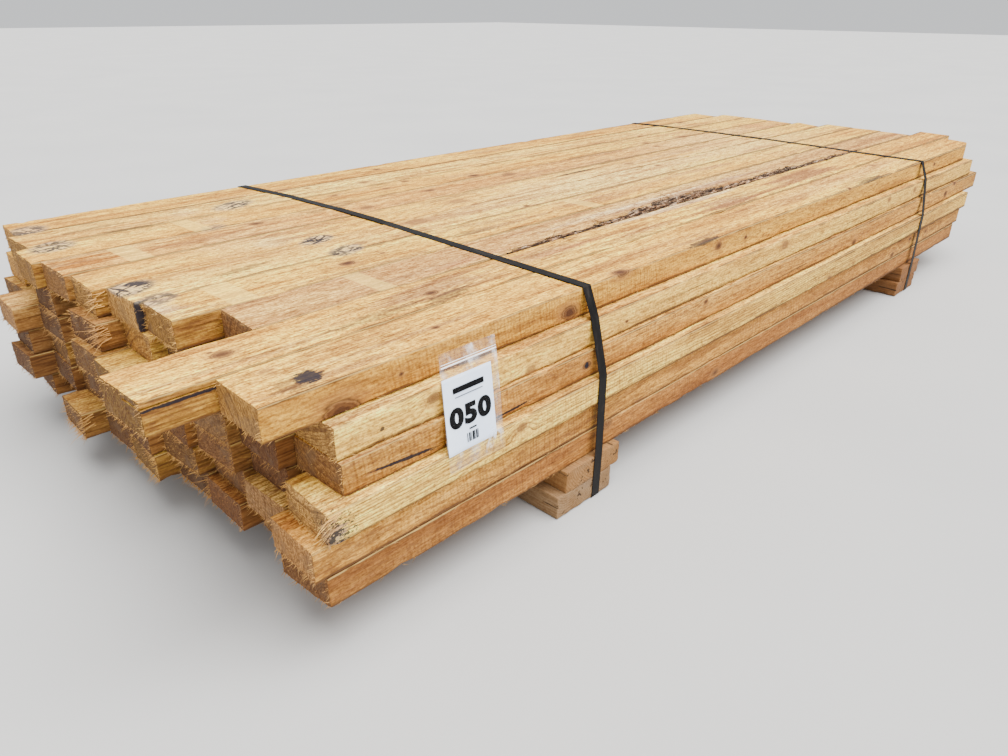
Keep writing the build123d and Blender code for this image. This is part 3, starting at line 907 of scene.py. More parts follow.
def paintBoard(board, entry, tone, seed, fuzz=0.0, shag=0.0, endShade=1.0):
    # writes each point's place in its own log and board, the board's tone, and how light its ends are: tone and painted
    # shade
    rng = random.Random(seed * 13 + 5)
    co = coordinates(board)
    low, high = np.array(entry["low"]), np.array(entry["high"])
    reach = rng.uniform(0.03, 0.14)
    angle = rng.uniform(0, 2 * math.pi)
    if "pith" in entry:
        reach, angle = entry["pith"]
    pith = (low + high) / 2 + np.array([0, math.cos(angle) * reach, math.sin(angle) * reach])
    turn = rng.uniform(0, 2 * math.pi)
    nearX = between(entry["near"], (co[:, 1] - low[1]) / (high[1] - low[1]))
    inBoard = np.stack([co[:, 0] - nearX, co[:, 1] - low[1], co[:, 2] - low[2]], 1)
    local = co - pith
    c, s = math.cos(turn), math.sin(turn)
    grain = np.stack([local[:, 0] + rng.uniform(-9, 9), local[:, 1] * c - local[:, 2] * s,
                      local[:, 1] * s + local[:, 2] * c], 1)
    start, fading = boardShape["shagReach"]
    writeAttribute(board, "inBoard", "FLOAT_VECTOR", inBoard)
    writeAttribute(board, "grainPlace", "FLOAT_VECTOR", grain)
    writeAttribute(board, "boardTint", "FLOAT_COLOR", np.tile([*tone, endShade], len(co)))
    writeAttribute(board, "fuzz", "FLOAT", np.full(len(co), fuzz))
    writeAttribute(board, "shag", "FLOAT", shag * unit(1 - (inBoard[:, 0] - start) / fading))


# the tone of each board: one row a layer from the top, from the front to the back
boardTones = [
    ["cream", "cream", "sand", "cream", "bone", "cream", "honey", "cream", "bone", "cream"],
    ["bone", "rust", "amber", "honey", "cream", "amber", "honey", "brown", "honey", "cream"],
    ["honey", "rust", "sand", "amber", "cream", "honey", "orange", "brown", "sand", "honey"],
    ["bone", "rust", "amber", "orange", "honey", "amber", "sand", "honey", "brown", "amber"],
    ["honey", "sand", "amber", "honey", "amber", "orange", "honey", "brown", "brown", "honey"],
    ["amber", "amber", "rust", "brown", "cream", "amber", "honey", "brown", "amber", "orange"],
]
toneColours = {
    "cream": (0.98, 0.580, 0.074),
    "bone": (0.98, 0.63, 0.108),
    "honey": (0.78, 0.42, 0.074),
    "sand": (0.74, 0.44, 0.110),
    "orange": (0.72, 0.30, 0.045),
    "amber": (0.58, 0.275, 0.055),
    "brown": (0.38, 0.180, 0.050),
    "rust": (0.42, 0.170, 0.036),
}


def sliverMaster():
    # one torn fibre: a thin bent spike, pointing along x
    deselectAll()
    bpy.ops.mesh.primitive_cone_add(vertices=4, radius1=0.5, radius2=0.04, depth=1, location=(0.5, 0, 0),
                                    rotation=(0, math.pi / 2, 0))
    sliver = bpy.context.object
    sliver.name = "sliver"
    bpy.ops.object.transform_apply(location=True, rotation=True, scale=True)
    editMode("EDGE")
    divideAlong(sliver, 0, 0, 1, 2)
    objectMode()
    co = coordinates(sliver)
    co[:, 2] += 0.35 * co[:, 0] ** 2
    setCoordinates(sliver, co)
    return sliver


def strewSlivers(master, spots, name, rng):
    # spots: (root, direction, length, thickness); one mesh of turned and stretched copies
    base = coordinates(master)
    faces = [list(polygon.vertices) for polygon in master.data.polygons]
    points, polygons = [], []
    for root, direction, length, thickness in spots:
        turn = Vector((1, 0, 0)).rotation_difference(Vector(direction).normalized()).to_matrix()
        twist = Matrix.Rotation(rng.uniform(0, 2 * math.pi), 3, "X")
        shape = np.array(turn @ twist)
        stretched = base * np.array([length, thickness, thickness])
        stretched[:, 2] = base[:, 2] * thickness + base[:, 0] ** 2 * length * rng.uniform(-0.3, 0.3)
        start = len(points)
        points.extend((stretched @ shape.T + np.array(root)).tolist())
        polygons.extend([[start + i for i in face] for face in faces])
    mesh = bpy.data.meshes.new(name)
    mesh.from_pydata(points, [], polygons)
    piece = bpy.data.objects.new(name, mesh)
    bpy.context.scene.collection.objects.link(piece)
    return piece


# how shaggy the near end of a board is, where it isn't 1: (layer, board)
shaggyEnds = {
    (1, 0): 0.8, (1, 1): 1.3, (1, 3): 2.2, (1, 5): 2.8, (2, 5): 2.8, (2, 7): 2.0, (3, 2): 1.8, (3, 7): 2.0, (4, 0): 2.4,
    (4, 2): 2.2, (5, 0): 1.6, (5, 1): 1.4, (5, 3): 2.0, (6, 2): 1.2, (6, 3): 2.4, (6, 4): 2.6, (6, 6): 2.4,
}
# boards whose near end is torn into long strips, and how many
tornStrips = {(2, 5): 22, (1, 5): 10, (4, 0): 14, (6, 3): 12, (6, 6): 14}
# where the log's middle lay from some boards' middles: distance and angle
piths = {
    (1, 0): (0.115, -0.60), (2, 0): (0.105, 1.25), (3, 0): (0.085, 1.9), (4, 0): (0.120, 1.45), (5, 0): (0.012, 0.40),
}
# how light the sawn ends are, their tone and painted shade together, where they aren't like the rest: (layer, board)
endShades = {
    (1, 0): 0.98, (1, 1): 0.46, (1, 2): 0.85, (1, 4): 1.20, (1, 9): 1.15, (2, 0): 0.88, (2, 1): 0.62, (2, 2): 0.75,
    (2, 4): 1.10, (2, 9): 1.15, (3, 0): 0.66, (3, 1): 0.58, (3, 2): 0.75, (3, 8): 1.15, (4, 0): 1.20, (4, 1): 0.62,
    (5, 0): 1.20, (5, 1): 1.00, (5, 8): 0.50, (6, 0): 0.65,
}
# ends not listed: from the fourth board back in layers 2 to 6 darker, painted shade among the recessed ends; the rest
# lighter
commonEndToneAndShade = {"inner": 0.42, "outer": 0.70, "innerFrom": 3}
slivers = {"atEnds": 110, "atFarEnds": 0.45, "alongFront": 160}


def endSlivers(entry, amount, rng):
    spots = []
    low, high = entry["low"], entry["high"]
    for end, sign, share in ((entry["near"], -1, 1.0), (entry["far"], 1, slivers["atFarEnds"])):
        for _ in range(int(slivers["atEnds"] * amount * share)):
            where, v, w = rng.random(), rng.random(), rng.random()
            droop, longest = 0.0, 0.0035
            # along the bottom, top, front and back edges, or anywhere
            if where < 0.48:
                w, droop, longest = 0.012, -0.9, 0.014
            elif where < 0.58:
                w, droop, longest = 0.97, 0.2, 0.006
            elif where < 0.76:
                v, longest = 0.012, 0.009
            elif where < 0.88:
                v, longest = 0.985, 0.009
            y = low[1] + 0.001 + v * (high[1] - low[1] - 0.002)
            z = low[2] + 0.0008 + w * (high[2] - low[2] - 0.0030)
            x = between(end, v) - sign * 0.0016
            length = min(rng.expovariate(1 / 0.0030) + 0.0015, longest) * (0.7 + 0.3 * amount)
            direction = (sign * rng.uniform(0.4, 1.0), rng.uniform(-0.55, 0.55),
                         rng.uniform(-0.45, 0.25) + droop * rng.random())
            spots.append(((x, y, z), direction, length, rng.uniform(0.0005, 0.0015) * min(1.0, length / 0.004)))
    return spots


def longStrips(entry, count, rng):
    spots = []
    low, high = entry["low"], entry["high"]
    for _ in range(count):
        z = low[2] + rng.uniform(0.35, 0.92) * (high[2] - low[2])
        root = (entry["near"][0] + rng.uniform(0.004, 0.020), low[1] + 0.0004, z)
        direction = (-1, rng.uniform(-0.35, -0.02), rng.uniform(-0.35, 0.15))
        spots.append((root, direction, rng.uniform(0.016, 0.042), rng.uniform(0.0010, 0.0024)))
    return spots


def edgeSlivers(entry, count, rng):
    # short hairs along the front edges
    spots = []
    low, high = entry["low"], entry["high"]
    for _ in range(count):
        x = rng.uniform(entry["near"][0] + 0.01, entry["far"][0] - 0.01)
        bottom = rng.random() < 0.7
        z = low[2] + 0.0012 if bottom else high[2] - 0.0035
        lift = (-0.5, 0.1) if bottom else (-0.2, 0.15)
        direction = (rng.choice([-1, 1]), rng.uniform(-0.5, -0.05), rng.uniform(*lift))
        spots.append(((x, low[1] + 0.001, z), direction, rng.uniform(0.003, 0.012), rng.uniform(0.0004, 0.0010)))
    return spots


def buildLayer(layer, fullMaster, plainMaster, sliver):
    node = f"board_layer_{layer}"
    nominal = (stack["boardLength"], stack["boardWidth"], stack["boardThickness"])
    boards, hairs = [], []
    rng = random.Random(400 + layer)
    for column, entry in enumerate(readBoards(node)):
        seed = layer * 10 + column
        if (layer, column) in piths:
            entry["pith"] = piths[layer, column]
        if (layer, column) == cornerBreak["board"]:
            entry["far"] = (entry["far"][0] + cornerBreak["length"], entry["far"][1])
        shown = layer in (1, stack["layers"]) or column in (0, 9)
        board = fitBoard(fullMaster if shown else plainMaster, nominal, entry, f"board{layer}_{column}", seed, 1.0)
        for feature, shape in ((cornerBreak, breakCorner), (nearSplit, openSplit), (wane, roundWane)):
            if (layer, column) == feature["board"]:
                shape(board, entry)
        if (layer, column) == wane["board"]:
            waneyEntry = entry
        tone = np.array(toneColours[boardTones[layer - 1][column]]) * rng.uniform(0.96, 1.04)
        # boards from the fourth back in the lower layers get ends darkened as painted shade
        inner = layer > 1 and column >= commonEndToneAndShade["innerFrom"]
        shade = endShades.get((layer, column), commonEndToneAndShade["inner" if inner else "outer"])
        paintBoard(board, entry, tone, seed, 0.0, 0.75 if column else 0.0, shade)
        boards.append(board)
        spots = endSlivers(entry, shaggyEnds.get((layer, column), 1.0), rng)
        if column == 0:
            spots += edgeSlivers(entry, slivers["alongFront"], rng)
        if (layer, column) in tornStrips:
            spots += longStrips(entry, tornStrips[layer, column], rng)
        hair = strewSlivers(sliver, spots, "hair", rng)
        paintBoard(hair, entry, tone, seed, 1.0)
        hairs.append(hair)
    piece = joinAll(boards + hairs, f"cedarLayer{layer}")
    smoothBelow(piece, 38)
    giveMaterial(piece, cedarMaterial(f"roughCedar{layer}", layer))
    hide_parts(node)
    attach(piece, "root")
    print("layer", layer, "built,", len(piece.data.polygons), "faces")
    if layer == 1:
        buildBark(waneyEntry, sliver)
        print("bark built")


def buildLayers():
    nominal = (stack["boardLength"], stack["boardWidth"], stack["boardThickness"])
    fullMaster = masterBoard("fullBoard", *nominal, 84)
    plainMaster = masterBoard("plainBoard", *nominal, 16)
    sliver = sliverMaster()
    for layer in range(1, stack["layers"] + 1):
        buildLayer(layer, fullMaster, plainMaster, sliver)
    for spare in (fullMaster, plainMaster, sliver):
        bpy.data.objects.remove(spare)


# what sets three boards apart: (layer, board) and sizes
cornerBreak = {"board": (1, 0), "length": 0.059, "depth": 0.015}
nearSplit = {"board": (1, 1), "length": 0.205, "drop": 0.012, "gap": 0.0026, "reach": 0.044}
wane = {"board": (1, 2), "start": 0.600, "length": 1.550, "drop": 0.010}


def breakCorner(board, entry):
    # the far front corner of the top front board has split off
    co = coordinates(board)
    tip = entry["far"][0]
    depth = co[:, 1] - entry["low"][1]
    ragged = roughness(co, (90, 90, 160), 3.1, 2) * 0.0012
    limit = tip - cornerBreak["length"] * (1 - depth / cornerBreak["depth"]) + ragged
    near = (depth < cornerBreak["depth"]) & (co[:, 0] > limit)
    co[near, 0] = limit[near]
    setCoordinates(board, co)


def openSplit(board, entry):
    # a check that opens at the near end, cut as a thin wedge
    level = entry["high"][2] - nearSplit["drop"]
    mouth = entry["near"][0] - 0.004
    front = entry["low"][1]
    tip = mouth + nearSplit["length"]
    high = (tip, front + nearSplit["reach"], level + nearSplit["gap"])
    wedge = addBox("wedge", (mouth, front - 0.01, level - 0.0001), high)
    editMode("EDGE")
    divideAlong(wedge, 0, mouth, tip, 14)
    objectMode()
    co = coordinates(wedge)
    share = (co[:, 0] - mouth) / nearSplit["length"]
    upper = co[:, 2] > level + nearSplit["gap"] / 2
    co[:, 2] = np.where(upper, level + nearSplit["gap"] * (1 - share) + 0.0002, level)
    co[:, 2] += 0.0009 * np.sin(share * 9) * share + 0.0035 * share
    setCoordinates(wedge, co)
    makeActive(board)
    cutter = board.modifiers.new("split", "BOOLEAN")
    cutter.operation = "DIFFERENCE"
    cutter.object = wedge
    cutter.solver = "EXACT"
    bpy.ops.object.modifier_apply(modifier="split")
    bpy.data.objects.remove(wedge)


def waneShare(along):
    # how deep the log's round side comes into the edge, 0 to 1 along the waney stretch
    t = unit((along - wane["start"]) / wane["length"])
    return np.sin(np.pi * t) ** 0.7 * (0.72 + 0.28 * np.exp(-((t - 0.38) / 0.16) ** 2))


def roundWane(board, entry):
    co = coordinates(board)
    along = co[:, 0] - stack["nearEdge"]
    share = waneShare(along)
    depth = co[:, 1] - entry["low"][1]
    drop = entry["high"][2] - co[:, 2]
    upper = unit(1 - drop / 0.02)
    ragged = 0.8 + 0.35 * roughness(co, (30, 30, 30), 8.2, 2)
    co[:, 2] -= unit(1 - depth / 0.03) * upper * share * wane["drop"] * ragged * unit(1 - depth / 0.024)
    co[:, 1] += unit(1 - depth / 0.006) * share * 0.0022 * ragged * upper
    setCoordinates(board, co)


# bark left on the waney edge

bark = {
    "width": 0.050,
    "height": 0.0075,       # how far it stands up at its thickest
    "forward": 0.006,       # how far it leans over the seam
    "swells": ((1.17, 0.17, 0.62), (1.62, 0.16, 0.26)),    # where it is thick: along, reach and share
    "shreds": 420,
    "splinters": ((0.603, 5), (0.712, 9), (0.888, 9), (1.163, 20), (1.353, 22), (1.62, 10), (1.93, 6)),
    "mostClimb": 0.011,     # how high a splinter's tip may rise
}


def barkMaterial():
    material = newMaterial("bark")
    place = objectPlace()
    strands = noiseAt(place, (30, 260, 260), 5.0, 0.7)
    lumps = noiseAt(place, (26, 80, 80), 3.0, 0.6)
    # the darkest strands, near black, are partly painted shade between the fibres
    colour = ramp(strands, (0.41, (0.006, 0.003, 0.002)), (0.49, (0.055, 0.029, 0.015)),
                  (0.57, (0.21, 0.125, 0.068)), (0.65, (0.68, 0.52, 0.37)))
    grey = ramp(lumps, (0.40, (0.84, 0.88, 0.92)), (0.60, (1.12, 0.95, 0.80)))
    colour = blendColours(1.0, colour, grey, "MULTIPLY")
    finishMaterial(colour, 0.9, timesPlus(lumps, 0.8, strands), 0.004, 1.0, Specular_IOR_Level=0.25)
    return material


def barkShare(along):
    # how thick the bark is, 0 to 1: thickest just past the middle, thin towards both tips
    t = (along - wane["start"]) / wane["length"]
    swell = sum(np.exp(-((along - middle) / reach) ** 2) * share for middle, reach, share in bark["swells"])
    return unit(t / 0.04) * unit((1 - t) / 0.10) * (0.22 + swell + 0.10 * np.sin(along * 23) ** 2)


def barkSurface(along, inward, entry, rise):
    # a point on the waney edge: inward is the distance back from the board's front face
    drop = waneShare(along) * wane["drop"] * unit(1 - inward / 0.024) ** 1.3
    z = entry["high"][2] - drop * unit(1 - rise / 0.003) + rise
    return np.stack([stack["nearEdge"] + along, entry["low"][1] + inward, z], -1)


def barkStrip(entry):
    deselectAll()
    bpy.ops.mesh.primitive_grid_add(x_subdivisions=560, y_subdivisions=16, size=1)
    strip = bpy.context.object
    strip.name = "barkStrip"
    co = coordinates(strip)
    t, v = co[:, 0] + 0.5, co[:, 1] + 0.5
    zeros = np.zeros(len(t))
    along = wane["start"] + t * wane["length"]
    share = barkShare(along)
    row = np.stack([along, zeros, zeros], 1)
    backEdge = bark["width"] * share * (1.0 + 0.35 * roughness(row, (30, 0, 0), 5.1, 3))
    frontEdge = -bark["forward"] * share * (1.0 + 0.8 * roughness(row, (44, 0, 0), 7.7, 3))
    inward = frontEdge + v * (backEdge - frontEdge)
    spots = np.stack([along, inward, zeros], 1)
    lumps = roughness(spots, (34, 190, 1), 6.4, 4)
    fibres = roughness(spots, (26, 620, 1), 9.4, 2)
    crown = unit(np.minimum(v / 0.22, (1 - v) / 0.75)) ** 0.7
    rise = bark["height"] * share * crown * (0.75 + 0.75 * lumps + 0.3 * fibres)
    rise += 0.0006 * crown - 0.0016 * (1 - unit(crown * 4))    # the rim tucks under the wood
    setCoordinates(strip, barkSurface(along, inward, entry, np.maximum(rise, -0.0016)))
    return strip


def barkSplinters(entry, rng):
    # shreds lying along the strip, and clusters of loose splinters
    places = []

    def root(x, inward, rise):
        return tuple(barkSurface(np.array(x), np.array(inward), entry, np.array(rise)))
    for _ in range(bark["shreds"]):
        x = wane["start"] + 0.02 + rng.random() * (wane["length"] - 0.04)
        thick = float(barkShare(x))
        if rng.random() > thick + 0.25:
            continue
        inward = rng.uniform(-0.1, 1.0) * bark["width"] * thick
        direction = (rng.choice([-1, 1]), rng.uniform(-0.30, 0.30), rng.uniform(-0.02, 0.14))
        rise = 0.0004 + bark["height"] * thick * 0.45
        places.append((root(x, inward, rise), direction, rng.uniform(0.008, 0.045), rng.uniform(0.0006, 0.0018)))
    for middle, count in bark["splinters"]:
        for _ in range(count):
            x = middle + rng.uniform(-0.035, 0.035)
            inward = rng.random() * bark["width"] * float(barkShare(x))
            flat = Vector((rng.uniform(-1, 1), rng.uniform(-0.9, 0.6), 0)).normalized()
            length = rng.uniform(0.014, 0.052)
            climb = min(rng.uniform(0.15, 0.60), bark["mostClimb"] / length)
            places.append((root(x, inward, 0.0), (flat.x, flat.y, climb), length, rng.uniform(0.0008, 0.0022)))
    return places


def buildBark(entry, sliver):
    rng = random.Random(77)
    strip = barkStrip(entry)
    splinters = strewSlivers(sliver, barkSplinters(entry, rng), "barkSplinters", rng)
    piece = joinAll([strip, splinters], "barkEdge")
    smoothBelow(piece, 50)
    giveMaterial(piece, barkMaterial())
    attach(piece, "root")


# bearers

bearerLooks = {
    "near_upper_bearer": {"tone": (0.46, 0.36, 0.26), "seed": 3},
    "near_lower_bearer": {"tone": (0.42, 0.39, 0.39), "seed": 8},
    "far_upper_bearer": {"tone": (0.36, 0.24, 0.16), "seed": 12},
    "far_lower_bearer": {"tone": (0.34, 0.23, 0.16), "seed": 17},
}
bearerWood = {
    "dark": (0.52, 0.31, 0.125),
    "light": (0.72, 0.50, 0.26),
    "latewood": (0.27, 0.125, 0.042),
    "weathered": (0.40, 0.35, 0.30),
    "shadedChecks": (0.022, 0.011, 0.006),
    "ringSpacing": 0.0048,
    "bumpDepth": 0.0012,
}


def bearerMaterial():
    material = newMaterial("bearerWood")
    look = bearerWood
    grain = readAttribute("grainPlace", "Vector")
    tint = readAttribute("boardTint", "Color")
    place = objectPlace()
    normal = addNode("NewGeometry").outputs["Normal"]
    endFace = band(partsOf(vectorCalc("ABSOLUTE", normal))[1], 0.55, 0.8)
    first, second = partsOf(grain)[1:]
    radius = calc("SQRT", plus(times(first, first), times(second, second)))
    radius = timesPlus(centred(noiseAt(grain, (2.0, 10, 10), 2.0, 0.5)), 0.022, radius)
    ring = calc("FRACT", times(radius, 1 / look["ringSpacing"]))
    late = ramp(ring, (0.0, 0.0), (0.45, 0.1), (0.85, 0.8), (0.95, 1.0), (1.0, 0.0))
    fibre = noiseAt(grain, (30, 380, 380), 4.0, 0.65)
    broad = noiseAt(grain, (3, 22, 22), 3.0, 0.6)
    speckle = noiseAt(place, (240, 240, 240), 4.0, 0.7)
    colour = ramp(broad, (0.3, look["dark"]), (0.7, look["light"]))
    colour = blendColours(times(late, timesPlus(endFace, 0.20, 0.32)), colour, look["latewood"])
    fibreTone = ramp(fibre, (0.30, (0.68, 0.58, 0.48)), (0.5, 1.0), (0.72, (1.12, 1.15, 1.2)))
    colour = blendColours(0.85, colour, fibreTone, "MULTIPLY")
    speckleTone = ramp(speckle, (0.30, (0.72, 0.64, 0.56)), (0.5, 1.0), (0.7, (1.1, 1.12, 1.16)))
    colour = blendColours(0.8, colour, speckleTone, "MULTIPLY")
    weather = band(noiseAt(place, (9, 9, 30), 3.0, 0.6), 0.45, 0.72)
    colour = blendColours(times(weather, 0.35), colour, look["weathered"])
    colour = blendColours(1.0, colour, tint, "MULTIPLY")
    # drying checks, painted dark as the shade inside them, and sunk a little
    shadedChecks = band(noiseAt(grain, (5, 95, 95), 2.0, 0.5), 0.655, 0.68)
    colour = blendColours(times(shadedChecks, 0.85), colour, look["shadedChecks"])
    height = timesPlus(speckle, 0.5, times(fibre, 0.5))
    height = timesPlus(shadedChecks, -0.8, timesPlus(late, 0.2, height))
    rough = ramp(fibre, (0.35, 0.94), (0.65, 0.82))
    finishMaterial(colour, rough, height, look["bumpDepth"], 0.9, Specular_IOR_Level=0.25)
    return material


def buildBearers():
    material = bearerMaterial()
    low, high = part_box("near_upper_bearer")
    width, length, thickness = high - low
    nominal = (length, width, thickness)
    master = masterBoard("fullBearer", *nominal, 30)
    for node, look in bearerLooks.items():
        low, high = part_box(node)
        # lying along x first, then turned to lie across the stack
        entry = {"low": np.zeros(3), "high": np.array(nominal), "near": (0.0, 0.0), "far": (length, length),
                 "pith": (0.06, -0.9 + look["seed"])}
        bearer = fitBoard(master, nominal, entry, node.replace("_", "") + "Piece", look["seed"], 1.4)
        paintBoard(bearer, entry, look["tone"], look["seed"])
        co = coordinates(bearer)
        setCoordinates(bearer, np.stack([low[0] + width - co[:, 1], low[1] + co[:, 0], low[2] + co[:, 2]], 1))
        smoothBelow(bearer, 38)
        giveMaterial(bearer, material)
        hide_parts(node)
        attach(bearer, "root")
    bpy.data.objects.remove(master)
    print("bearers built")


# straps

strapLook = {
    "bendRadius": 0.0028,
    "bends": (4, 100),             # in degrees
    "leastFace": 0.00003,          # square metres, so that only the broad faces' edges are rounded
    "darkest": (0.0032, 0.0026, 0.0026),
    "black": (0.0070, 0.0060, 0.0060),
    "scuffed": (0.021, 0.018, 0.016),
    "dust": (0.10, 0.085, 0.065),
}


def strapMaterial():
    material = newMaterial("blackStrap")
    look = strapLook
    place = objectPlace()
    scuffed = noiseAt(place, (90, 26, 26), 4.0, 0.65)
    dust = noiseAt(place, (14, 5, 5), 3.0, 0.6)
    emboss = addNode("TexVoronoi", {"Vector": vectorCalc("MULTIPLY", place, (700, 420, 420)), "Scale": 1.0}).outputs[0]
    colour = ramp(scuffed, (0.40, look["darkest"]), (0.56, look["black"]), (0.68, look["scuffed"]))
    colour = blendColours(times(band(dust, 0.5, 0.75), 0.05), colour, look["dust"])
    rough = ramp(scuffed, (0.4, 0.46), (0.62, 0.62))
    finishMaterial(colour, rough, timesPlus(scuffed, 0.4, emboss), 0.0002, 0.5, Specular_IOR_Level=0.10)
    return material


def atBend(edge):
    run = edge.verts[1].co - edge.verts[0].co
    if len(edge.link_faces) != 2 or abs(run.x) < 0.9 * run.length or run.length < 0.012:
        return False
    a, b = edge.link_faces
    slight, sharp = (math.radians(angle) for angle in strapLook["bends"])
    return slight < a.normal.angle(b.normal) < sharp and min(a.calc_area(), b.calc_area()) > strapLook["leastFace"]


def buildStrap(node, material):
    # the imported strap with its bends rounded, as tensioned plastic takes a corner
    strap = copyOf(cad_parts[node], node.replace("_", "") + "Band")
    strap.hide_render = False
    makeActive(strap)
    mergeDoubles()
    bpy.ops.mesh.dissolve_limited(angle_limit=math.radians(1.5))
    bpy.ops.mesh.select_mode(type="EDGE")
    pick(strap, "EDGE", atBend)
    bpy.ops.mesh.bevel(offset=strapLook["bendRadius"], segments=4, affect="EDGES", clamp_overlap=True)
    objectMode()
    smoothBelow(strap, 35)
    giveMaterial(strap, material)
    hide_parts(node)
    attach(strap, "root")


def buildStraps():
    material = strapMaterial()
    for node in ("near_strap", "far_strap"):
        buildStrap(node, material)
    print("straps built")


# pouch and card

tag = {
    "places": (0.308, 0.2915, 0.280, 0.282),    # its middle at each bend of its line, along from the near end
    "line": ((0.0, 0.020), (-0.022, 0.0468), (-0.045, 0.1404), (-0.045, 0.1704)),    # across and down the front
    "width": 0.103,
    "film": 0.0012,
    "cardWidth": 0.089,
    "cardTop": 0.033,
    "cardHeight": 0.102,
    "cardShift": -0.0055,
    "cardThickness": 0.0003,
    "number": "050",
    "numberSize": 0.0350,
    "numberWeight": 0.0020,
    "numberSpacing": 1.12,
    "numberStretch": 1.30,
    "numberDrop": 0.067,
    "inkOut": 0.0020,
    # the zip's ridges: down from the pouch's top, and half thickness
    "ridges": ((0.0185, 0.0011), (0.0150, 0.0006)),
    # bars on the card: lower and upper corner from the middle of its top edge
    "bars": (((-0.028, -0.0225), (0.028, -0.0150)), ((-0.025, -0.0285), (0.025, -0.0276)),
             ((-0.005, -0.0770), (0.008, -0.0750))),
    "ticks": (0.0012, 0.0020, 0.0010, 0.0026, 0.0014, 0.0022, 0.0012),    # widths
    "tickStep": 0.0032,
    # where the film's painted crease highlights gather
    "crumple": (0.312, -0.047, 0.150),
}


def onPouch(across, distance, out):
    # a place on the pouch: across from its middle, distance down its line, out from its line
    line = tag["line"]
    y, down, ny, nz, middle = (np.empty(len(distance)) for _ in range(5))
    travelled = 0.0
    for index, (first, second) in enumerate(zip(line, line[1:])):
        run = math.dist(first, second)
        last = index == len(line) - 2
        here = (distance >= travelled - 1e-9) & ((distance <= travelled + run) | last)
        share = (distance[here] - travelled) / run
        y[here] = first[0] + (second[0] - first[0]) * share
        down[here] = first[1] + (second[1] - first[1]) * share
        middle[here] = between(tag["places"][index:index + 2], share)
        ny[here] = -(second[1] - first[1]) / run
        nz[here] = -(second[0] - first[0]) / run
        travelled += run
    x = stack["nearEdge"] + middle + across
    return np.stack([x, stack["frontEdge"] + y + ny * out, stack["top"] - down + nz * out], 1)


def addSheet(name, width, middle, length, cuts):
    # a flat grid: its x runs across the pouch and its y down it, round a middle on the line
    deselectAll()
    bpy.ops.mesh.primitive_grid_add(x_subdivisions=cuts[0], y_subdivisions=cuts[1], size=1)
    piece = bpy.context.object
    piece.name = name
    co = coordinates(piece)
    return piece, co[:, 0] * width, middle - co[:, 1] * length


def thicken(piece, thickness):
    makeActive(piece)
    solid = piece.modifiers.new("solid", "SOLIDIFY")
    solid.thickness = thickness
    solid.offset = 1.0
    bpy.ops.object.modifier_apply(modifier="solid")


def filmMaterial():
    material = newMaterial("clearFilm")
    place = objectPlace()
    creases = noiseAt(place, (70, 70, 34), 4.0, 0.6)
    # painted highlights: the crumpled corner's creases show as whiter film
    crumpleHighlight = fade(patchDistance(place, atStack(*tag["crumple"]), (0.022, 0.03, 0.020)), 0.4, 1.1)
    openFilm = inverse(readAttribute("overCard", "Fac"))
    # the film's haze, heavier on the creases: milky film and painted highlights of the creases
    hazeAndHighlights = ramp(creases, (0.40, 0.022), (0.53, 0.050), (0.60, 0.12), (0.68, 0.30))
    hazeAndHighlights = times(hazeAndHighlights, timesPlus(openFilm, 0.97, 0.03))
    hazeAndHighlights = timesPlus(times(crumpleHighlight, band(creases, 0.47, 0.58)), 0.55, hazeAndHighlights)
    rough = ramp(creases, (0.35, 0.10), (0.65, 0.24))
    shader = finishMaterial((0.95, 0.97, 1.0), rough, creases, 0.002, 0.6, Specular_IOR_Level=0.6, IOR=1.48)
    tree.links.new(hazeAndHighlights, shader.inputs["Alpha"])
    return material


def layPiece(piece, material):
    giveMaterial(piece, material)
    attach(piece, "root")


def buildPouch():
    # the bag: two films held together round the rim
    full = sum(math.dist(a, b) for a, b in zip(tag["line"], tag["line"][1:]))
    bag, across, distance = addSheet("clearPouch", tag["width"], full / 2, full, (60, 90))
    spots = np.stack([across, distance, np.zeros(len(across))], 1)
    crumple = roughness(spots, (34, 26, 0), 2.2, 3)
    curl = 0.0016 * unit((distance - 0.125) / 0.04) * np.clip(across / 0.04, -1, 1) ** 2
    setCoordinates(bag, onPouch(across, distance, 0.0006 + 0.0005 * (1 + crumple) + curl))
    besideCard = np.abs(across - tag["cardShift"]) < tag["cardWidth"] / 2
    levelWithCard = np.abs(distance - tag["cardTop"] - tag["cardHeight"] / 2) < tag["cardHeight"] / 2
    writeAttribute(bag, "overCard", "FLOAT", besideCard & levelWithCard)
    thicken(bag, tag["film"])
    editMode()
    bpy.ops.mesh.select_all(action="SELECT")
    bpy.ops.mesh.normals_make_consistent(inside=False)
    objectMode()
    smoothBelow(bag, 40)
    layPiece(bag, filmMaterial())
    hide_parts("tag_pouch")

    # the zip: two fine ridges near the open end
    ridges = []
    for index, (offset, thick) in enumerate(tag["ridges"]):
        ridge, across, distance = addSheet(f"zip{index}", tag["width"] - 0.002, offset, thick * 2, (24, 4))
        v = (distance - offset) / thick
        setCoordinates(ridge, onPouch(across, distance, 0.0026 + 0.0006 * np.sqrt(unit(1 - v * v))))
        ridges.append(ridge)
    layPiece(joinAll(ridges, "pouchZip"), plainMaterial("pouchZip"))


